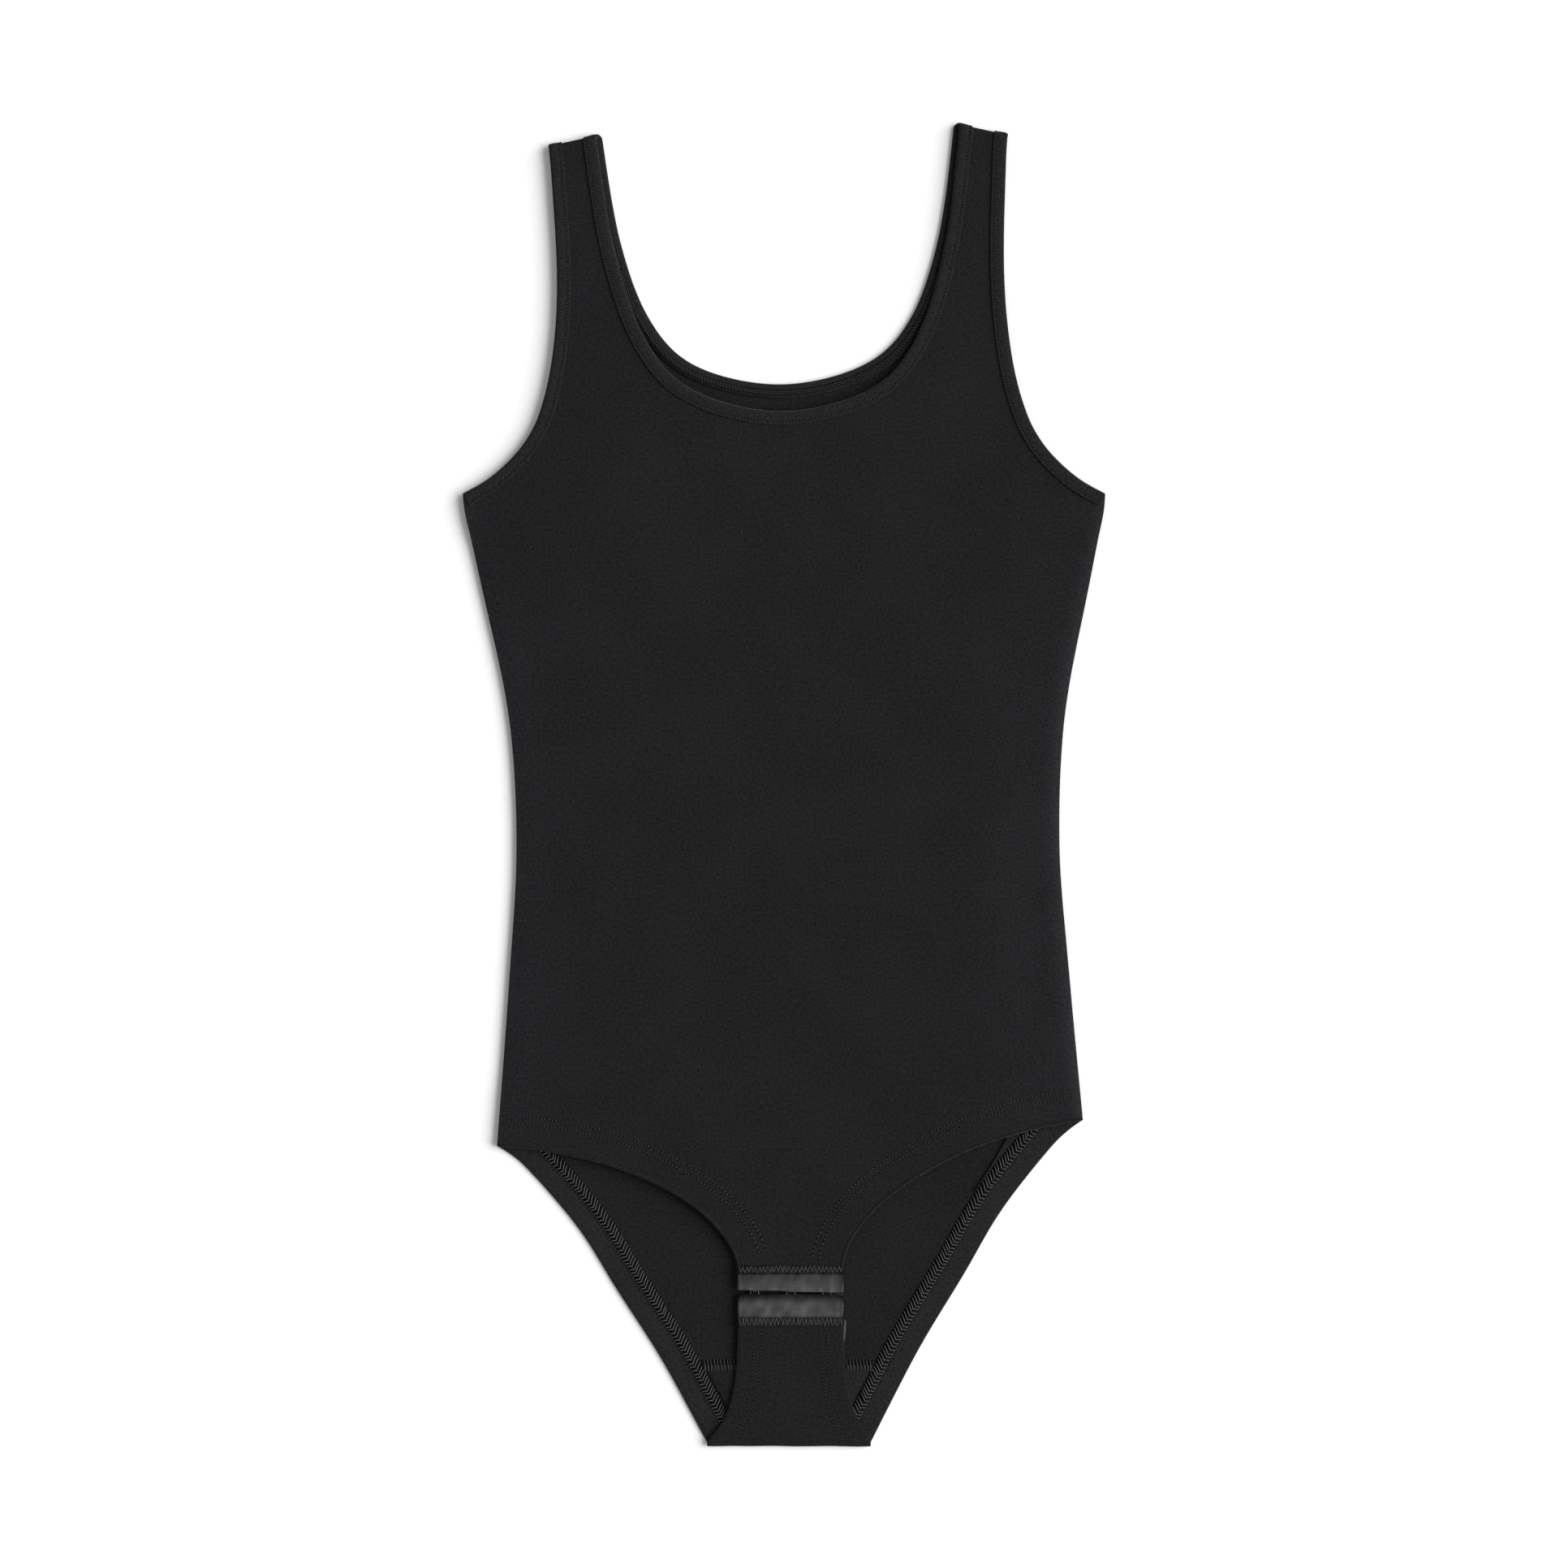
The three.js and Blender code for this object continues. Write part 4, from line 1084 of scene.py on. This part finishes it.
# The tape's raw end hangs beside the gusset as a narrow tail.
tail_z = FOLD_AXIS_Z * 2 - JERSEY - 0.35 * MM
tail = []
for share in np.linspace(0, 1, 16):
    x, y = TAPE_X + HALF_TAPE - 0.9 * MM * share**3, EYE_TAPE[0].y + (3 - 12 * share) * MM
    tail.append([(x + (a - 2.2) * MM, y, tail_z) for a in np.linspace(0, 3.4, 5)])
piece = follow(ribbon("eye_tape_tail_satin", tail, 0.5 * MM, SATIN), "gusset")

# --- Hooks and eyes

WIRE_RADIUS = 0.35 * MM


def wire(name, corners, body):
    """A rounded wire through the corners of a bent one, in the place of a CAD node."""
    piece = threads(f"{name}_wire", [smooth_line(corners, 0.35 * MM)], WIRE_RADIUS, WIRE, sides=12)
    follow(piece, body)
    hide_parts(name)


for place in ("left", "middle", "right"):
    low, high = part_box(f"hook_{place}")
    x = (low.x + high.x) / 2
    spread = (high.x - low.x) / 2 - WIRE_RADIUS
    top, bottom, tip = high.z - WIRE_RADIUS, low.z + WIRE_RADIUS, low.y + WIRE_RADIUS
    bend, middle = (top - bottom) / 2, (top + bottom) / 2
    centre = tip + bend
    leg = [(high.y - WIRE_RADIUS, top), (high.y - 3 * MM, top), (centre, top)]
    arc = [(centre - bend * math.sin(a), middle + bend * math.cos(a)) for a in np.radians((30, 60, 90, 120, 150))]
    bill = [(centre, bottom), (centre + 1.2 * MM, bottom), (centre + 2.4 * MM, bottom + 0.12 * MM)]
    half = [(spread, y, z) for y, z in (*leg, *arc, *bill)]
    half.append((spread * 0.7, bill[-1][0] + 0.5 * MM, bottom + 0.16 * MM))
    wire(f"hook_{place}", [(x + a * s, y, z) for s in (1, -1) for a, y, z in half[::s]], "front_tab")
    low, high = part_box(f"eye_{place}")
    z = (low.z + high.z) / 2
    wide = (high.x - low.x) / 2 - WIRE_RADIUS
    head, foot = high.y - WIRE_RADIUS, low.y + WIRE_RADIUS
    curl = [(wide - 0.9 * MM, foot + 0.4 * MM), (wide - 0.3 * MM, foot + 0.1 * MM)]
    half = [*curl, (wide, foot + 1 * MM), (wide, foot + 3 * MM)]
    angles = np.radians(np.arange(0, 181, 30))
    arch = [(x + wide * math.cos(a), head - 1.2 * MM * (1 - math.sin(a))) for a in angles]
    loop = [*[(x + a, y) for a, y in half], *arch, *[(x - a, y) for a, y in half[::-1]]]
    wire(f"eye_{place}", [(a, y, z) for a, y in loop], "gusset")

# --- Stitches


def sew(line, height, hand, pitch, strands, start=0.0, end=0.0, seed=0.0, uneven=0.06 * MM):
    """Copies of a stitch along a line, as paths. Each strand is (along, across, up) points in mm from the stitch's own
    start, and uneven is how far a stitch may stray."""
    far = lengths(line)
    right = rightward(line) * hand
    first = np.arange(start, far[-1] - end - 0.5 * pitch, pitch)
    jitter = uneven * np.array([noise.noise(Vector((s * 900, seed, 0))) for s in first])[:, None]
    paths = []
    for strand in strands:
        strand = np.asarray(strand, float) * MM
        own = seed + strand[0, 1] * 300
        drift = uneven * np.array([noise.noise(Vector((s * 900, own, 4.5))) for s in first])[:, None]
        along = first[:, None] + strand[None, :, 0] + drift
        across = strand[None, :, 1] + jitter
        x, y = (np.interp(along, far, line[:, k]) + np.interp(along, far, right[:, k]) * across for k in (0, 1))
        level = height(np.column_stack([x.ravel(), y.ravel()])).reshape(x.shape)
        paths += list(np.stack([x, y, level + strand[None, :, 2]], axis=2))
    return paths


def stitched(name, paths, radius, material, body, joint=None, holes=()):
    follow(threads(name, paths, radius, material, sides=5, holes=holes), body, joint)


def straight_rows(name, line, height, hand, pitch, places, up, dip, radius, material, body, joint=None,
                  start=0.0, hole_start=0.0, end=0.0, uneven=0.06 * MM):
    """Rows of straight stitches that dip into the cloth at both ends, with a needle hole in painted shade between each
    two.
    Lengths are in mm: places are how far each row is from the line, up its height and dip how much lower a hole is."""
    reach, middle = 0.24 * pitch, pitch / 2
    shape = ((-1.2, -0.22), (-0.7, 0), (0.7, 0), (1.2, -0.22))
    stitches = [[(middle + a * reach, across, up + b) for a, b in shape] for across in places]
    dips = [[(a * pitch, across, up - dip) for a in (-0.2, 0.2)] for across in places]
    paths = sew(line, height, hand, pitch * MM, stitches, start * MM, end * MM, uneven=uneven)
    holes = sew(line, height, hand, pitch * MM, dips, hole_start * MM, end * MM, uneven=uneven)
    stitched(name, paths, radius, material, body, joint, holes)


def painted_shade_strip(name, line, height, section, hand, body, joint=None):
    """Painted shade: a dark sweep standing in for the shade between the loops of a chain row. section is in mm."""
    follow(sweep(name, line, height, np.array(section) * MM, hand, PAINTED_SHADE), body, joint)


# The radii of the threads, and the lengths of a stitch in mm.
FINE, MEDIUM, THICK = 0.13 * MM, 0.15 * MM, 0.22 * MM
NEEDLE_PITCH = 1.6
LEG_PITCH = 2.0
TWIN_PITCH = 1.8
COVER_PITCH = 1.75
ZIGZAG_PITCH = 2.2
# The looper side of the back bindings' stitches: slanting strands with small loops along one side.
CHAIN = [
    [(0, 3.4, 1.54), (0.24, 3.7, 1.86), (1.2, 4.235, 2.04), (1.44, 4.435, 1.59)],
    [(0.16, 4.535, 1.64), (0.48, 4.835, 1.94), (1.52, 5.4, 1.9), (1.76, 5.7, 1.54)],
]
# Painted shade under a back binding's chain loops, as (across, up) points in mm.
CHAIN_SHADE = [(3.1, 1.64), (5.9, 1.64), (5.9, 1.76), (3.1, 1.76)]
# The looper side of the cover stitch on a back leg hem: nested loops that point along the line.
BRAID = [
    [(0.0, 10.7, 1.64), (0.24, 11.0, 1.94), (0.8, 12.6, 1.98), (1.0, 13.1, 1.74)],
    [(1.2, 12.7, 1.74), (1.04, 13.1, 2.0), (-0.4, 14.9, 1.86), (-1.5, 16.5, 1.16), (-1.7, 16.8, 0.85)],
]
# Needle holes beside the braid, drawn in painted shade.
BRAID_HOLE = [[(a * LEG_PITCH, 10.3, 1.68) for a in (-0.2, 0.2)]]
# Painted shade under the braid's loops, as (across, up) points in mm.
BRAID_SHADE = [
    (11.0, 1.7), (14.6, 1.7), (14.9, 0.75), (17.2, 0.75), (17.2, 0.88), (15.3, 0.92), (14.9, 1.82), (11.0, 1.84),
]
for face, (_, _, _, height, _) in FACES.items():
    for place, line, hand, body, joint in bound_lines(face):
        if face == "front":
            straight_rows(
                f"front_{place}_needle_row", line, height, hand, NEEDLE_PITCH, [5.5], 1.5, 0.14, FINE, THREAD,
                body, joint, start=0.3, hole_start=0.6, end=0.3,
            )
        else:
            paths = sew(line, height, hand, NEEDLE_PITCH * MM, CHAIN, 0.3 * MM, 0.6 * MM)
            stitched(f"back_{place}_chain_row", paths, FINE, SHEEN_THREAD, body, joint)
            # Painted shade between the chain's loops.
            painted_shade_strip(f"back_{place}_chain_painted_shade", line, height, CHAIN_SHADE, hand, body, joint)

top = JERSEY / MM + 0.08
for label, side in SIDES.items():
    leg = spaced(np.concatenate([FRONT_LEGS[label], [[TAPE_X + side * HALF_TAPE, HOOK_TAPE[1].y]]]), 2 * MM)
    upper, lower = split(leg, TAB_FOLD_Y)
    for place, line, body, joint, start in (
        ("front_leg", upper, "torso", None, 4.5), ("tab", lower, "front_tab", "front_tab_lift", 0.3),
    ):
        straight_rows(
            f"{place}_{label}_twin_rows", line, front_height, side, TWIN_PITCH, [13.2, 17.0], top, 0.12, MEDIUM,
            SHEEN_THREAD, body, joint, start=start, hole_start=start, end=0.3, uneven=0.25 * MM,
        )
    line = BACK_LEGS[label]
    paths = sew(line, back_height, side, LEG_PITCH * MM, BRAID, 16 * MM, 1 * MM, uneven=0.55 * MM)
    holes = sew(line, back_height, side, LEG_PITCH * MM, BRAID_HOLE, 16 * MM, 1 * MM)
    stitched(f"back_leg_{label}_chain_row", paths, THICK, GLINT_THREAD, "torso", holes=holes)
    # Painted shade under the braid, past its first 15 mm.
    covered = line[np.linalg.norm(line - line[0], axis=1) > 15 * MM]
    painted_shade_strip(f"back_leg_{label}_chain_painted_shade", covered, back_height, BRAID_SHADE, side, "torso")


def level_at(z):
    """A flat surface at one height."""
    return lambda points: np.full(len(points), z)


def level_line(first_x, last_x, y):
    return spaced(np.array([(first_x, y), (last_x, y)]), 1 * MM)


seam_low, seam_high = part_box("gusset_seam")
seam_line = level_line(seam_low.x + 1 * MM, seam_high.x - 1 * MM, seam_high.y + 0.7 * MM)
cover = [
    [(0.1, 0, -0.9), (0.0, 0.6, -0.02), (0.4, 3.4, 0.04), (0.3, 5.8, -0.02), (0.55, 6.4, -0.9)],
    [(0.7, 3.0, -0.2), (0.9, 3.4, 0.06), (1.1, 5.6, 0.0), (1.2, 6.4, -0.9)],
]
paths = sew(seam_line, level_at(seam_high.z + 0.08 * MM), 1, COVER_PITCH * MM, cover, uneven=0.3 * MM)
stitched("gusset_seam_cover_stitches", paths, MEDIUM, SHEEN_THREAD, "torso")
on_hem = level_at(2 * JERSEY + HEM_GAP + 0.08 * MM)
on_gusset = level_at(gusset_high.z + 0.06 * MM)
for place, (label, side) in enumerate(SIDES.items()):
    edge = back_x[place][0]
    straight_rows(
        f"gusset_seam_marks_{label}", level_line(edge - side * 14 * MM, edge - side * 5 * MM, GUSSET_SEAM_Y), on_hem,
        1, TWIN_PITCH, (-3.0, -0.3, 3.0), 0.0, 0.18, FINE, THREAD, "torso",
    )
    levels = np.linspace(FOLD_AXIS_Y + 5 * MM, EYE_TAPE[0].y - 1.5 * MM, 30)
    straight_rows(
        f"gusset_{label}_twin_rows", np.column_stack([spans("gusset_front", levels)[:, place], levels]), on_gusset,
        -side, TWIN_PITCH, (8.6, 12.4), 0.0, 0.24, FINE, THREAD, "gusset", uneven=0.3 * MM,
    )


def zigzag(name, y, depth, z, body):
    """Zigzag stitching across a tape. depth is in mm."""
    line = level_line(TAPE_X - HALF_TAPE + 0.8 * MM, TAPE_X + HALF_TAPE - 0.8 * MM, y)
    strands = [
        [(0, 0, -0.25), (0.12, 0.3, 0.1), (0.95, depth - 0.3, 0.12), (1.1, depth, -0.25)],
        [(1.1, depth, -0.25), (1.2, depth - 0.3, 0.1), (2.05, 0.3, 0.12), (2.2, 0, -0.25)],
    ]
    paths = sew(line, level_at(z + 0.12 * MM), 1, ZIGZAG_PITCH * MM, strands, seed=y * 100, uneven=0.8 * MM)
    stitched(name, paths, 0.16 * MM, SHEEN_THREAD, body)


zigzag("hook_tape_zigzag", HOOK_TAPE[1].y - 0.5 * MM, 3.0, HOOK_TAPE[1].z, "front_tab")
zigzag("eye_tape_zigzag", EYE_TAPE[0].y + 3.9 * MM, 3.8, EYE_TAPE[1].z, "gusset")

# --- Stage, light and camera

CAMERA_VIEW = 827 * MM
FLOOR_REACH = 60.0
SKY_STRENGTH = 0.47
KEY_STRENGTH, KEY_SPREAD = 5.45, 60


def studio():
    """A white floor, an even white sky and one soft light."""
    a = FLOOR_REACH
    floor = bpy.data.meshes.new("floor")
    floor.from_pydata([(-a, -a, 0), (a, -a, 0), (a, a, 0), (-a, a, 0)], [], [(0, 1, 2, 3)])
    obj = add_object("floor", floor)
    obj.location.z = -0.1 * MM
    look = Shading("floor_white", 0.9, specular=0.0)
    look.base((0.8, 0.8, 0.8, 1))
    floor.materials.append(look.material)
    obj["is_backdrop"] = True
    world = bpy.data.worlds.new("studio")
    bpy.context.scene.world = world
    world.use_nodes = True
    background = world.node_tree.nodes["Background"].inputs
    background[0].default_value = (1, 1, 1, 1)
    background[1].default_value = SKY_STRENGTH
    sun = bpy.data.lights.new("key", "SUN")
    sun.energy = KEY_STRENGTH
    sun.angle = math.radians(KEY_SPREAD)
    key = add_object("key", sun)
    key.rotation_euler = Vector((-1, -0.1, -0.62)).to_track_quat("-Z", "Y").to_euler()
    bpy.context.scene.view_settings.view_transform = "Standard"


def camera():
    """Straight above the leotard, with a long lens."""
    data = bpy.data.cameras.new("camera")
    data.lens = 100
    data.sensor_width = 36
    data.clip_end = 20
    obj = add_object("camera", data)
    obj.location = (0, 0, CAMERA_VIEW * data.lens / data.sensor_width)
    bpy.context.scene.camera = obj


studio()
camera()

low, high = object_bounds()
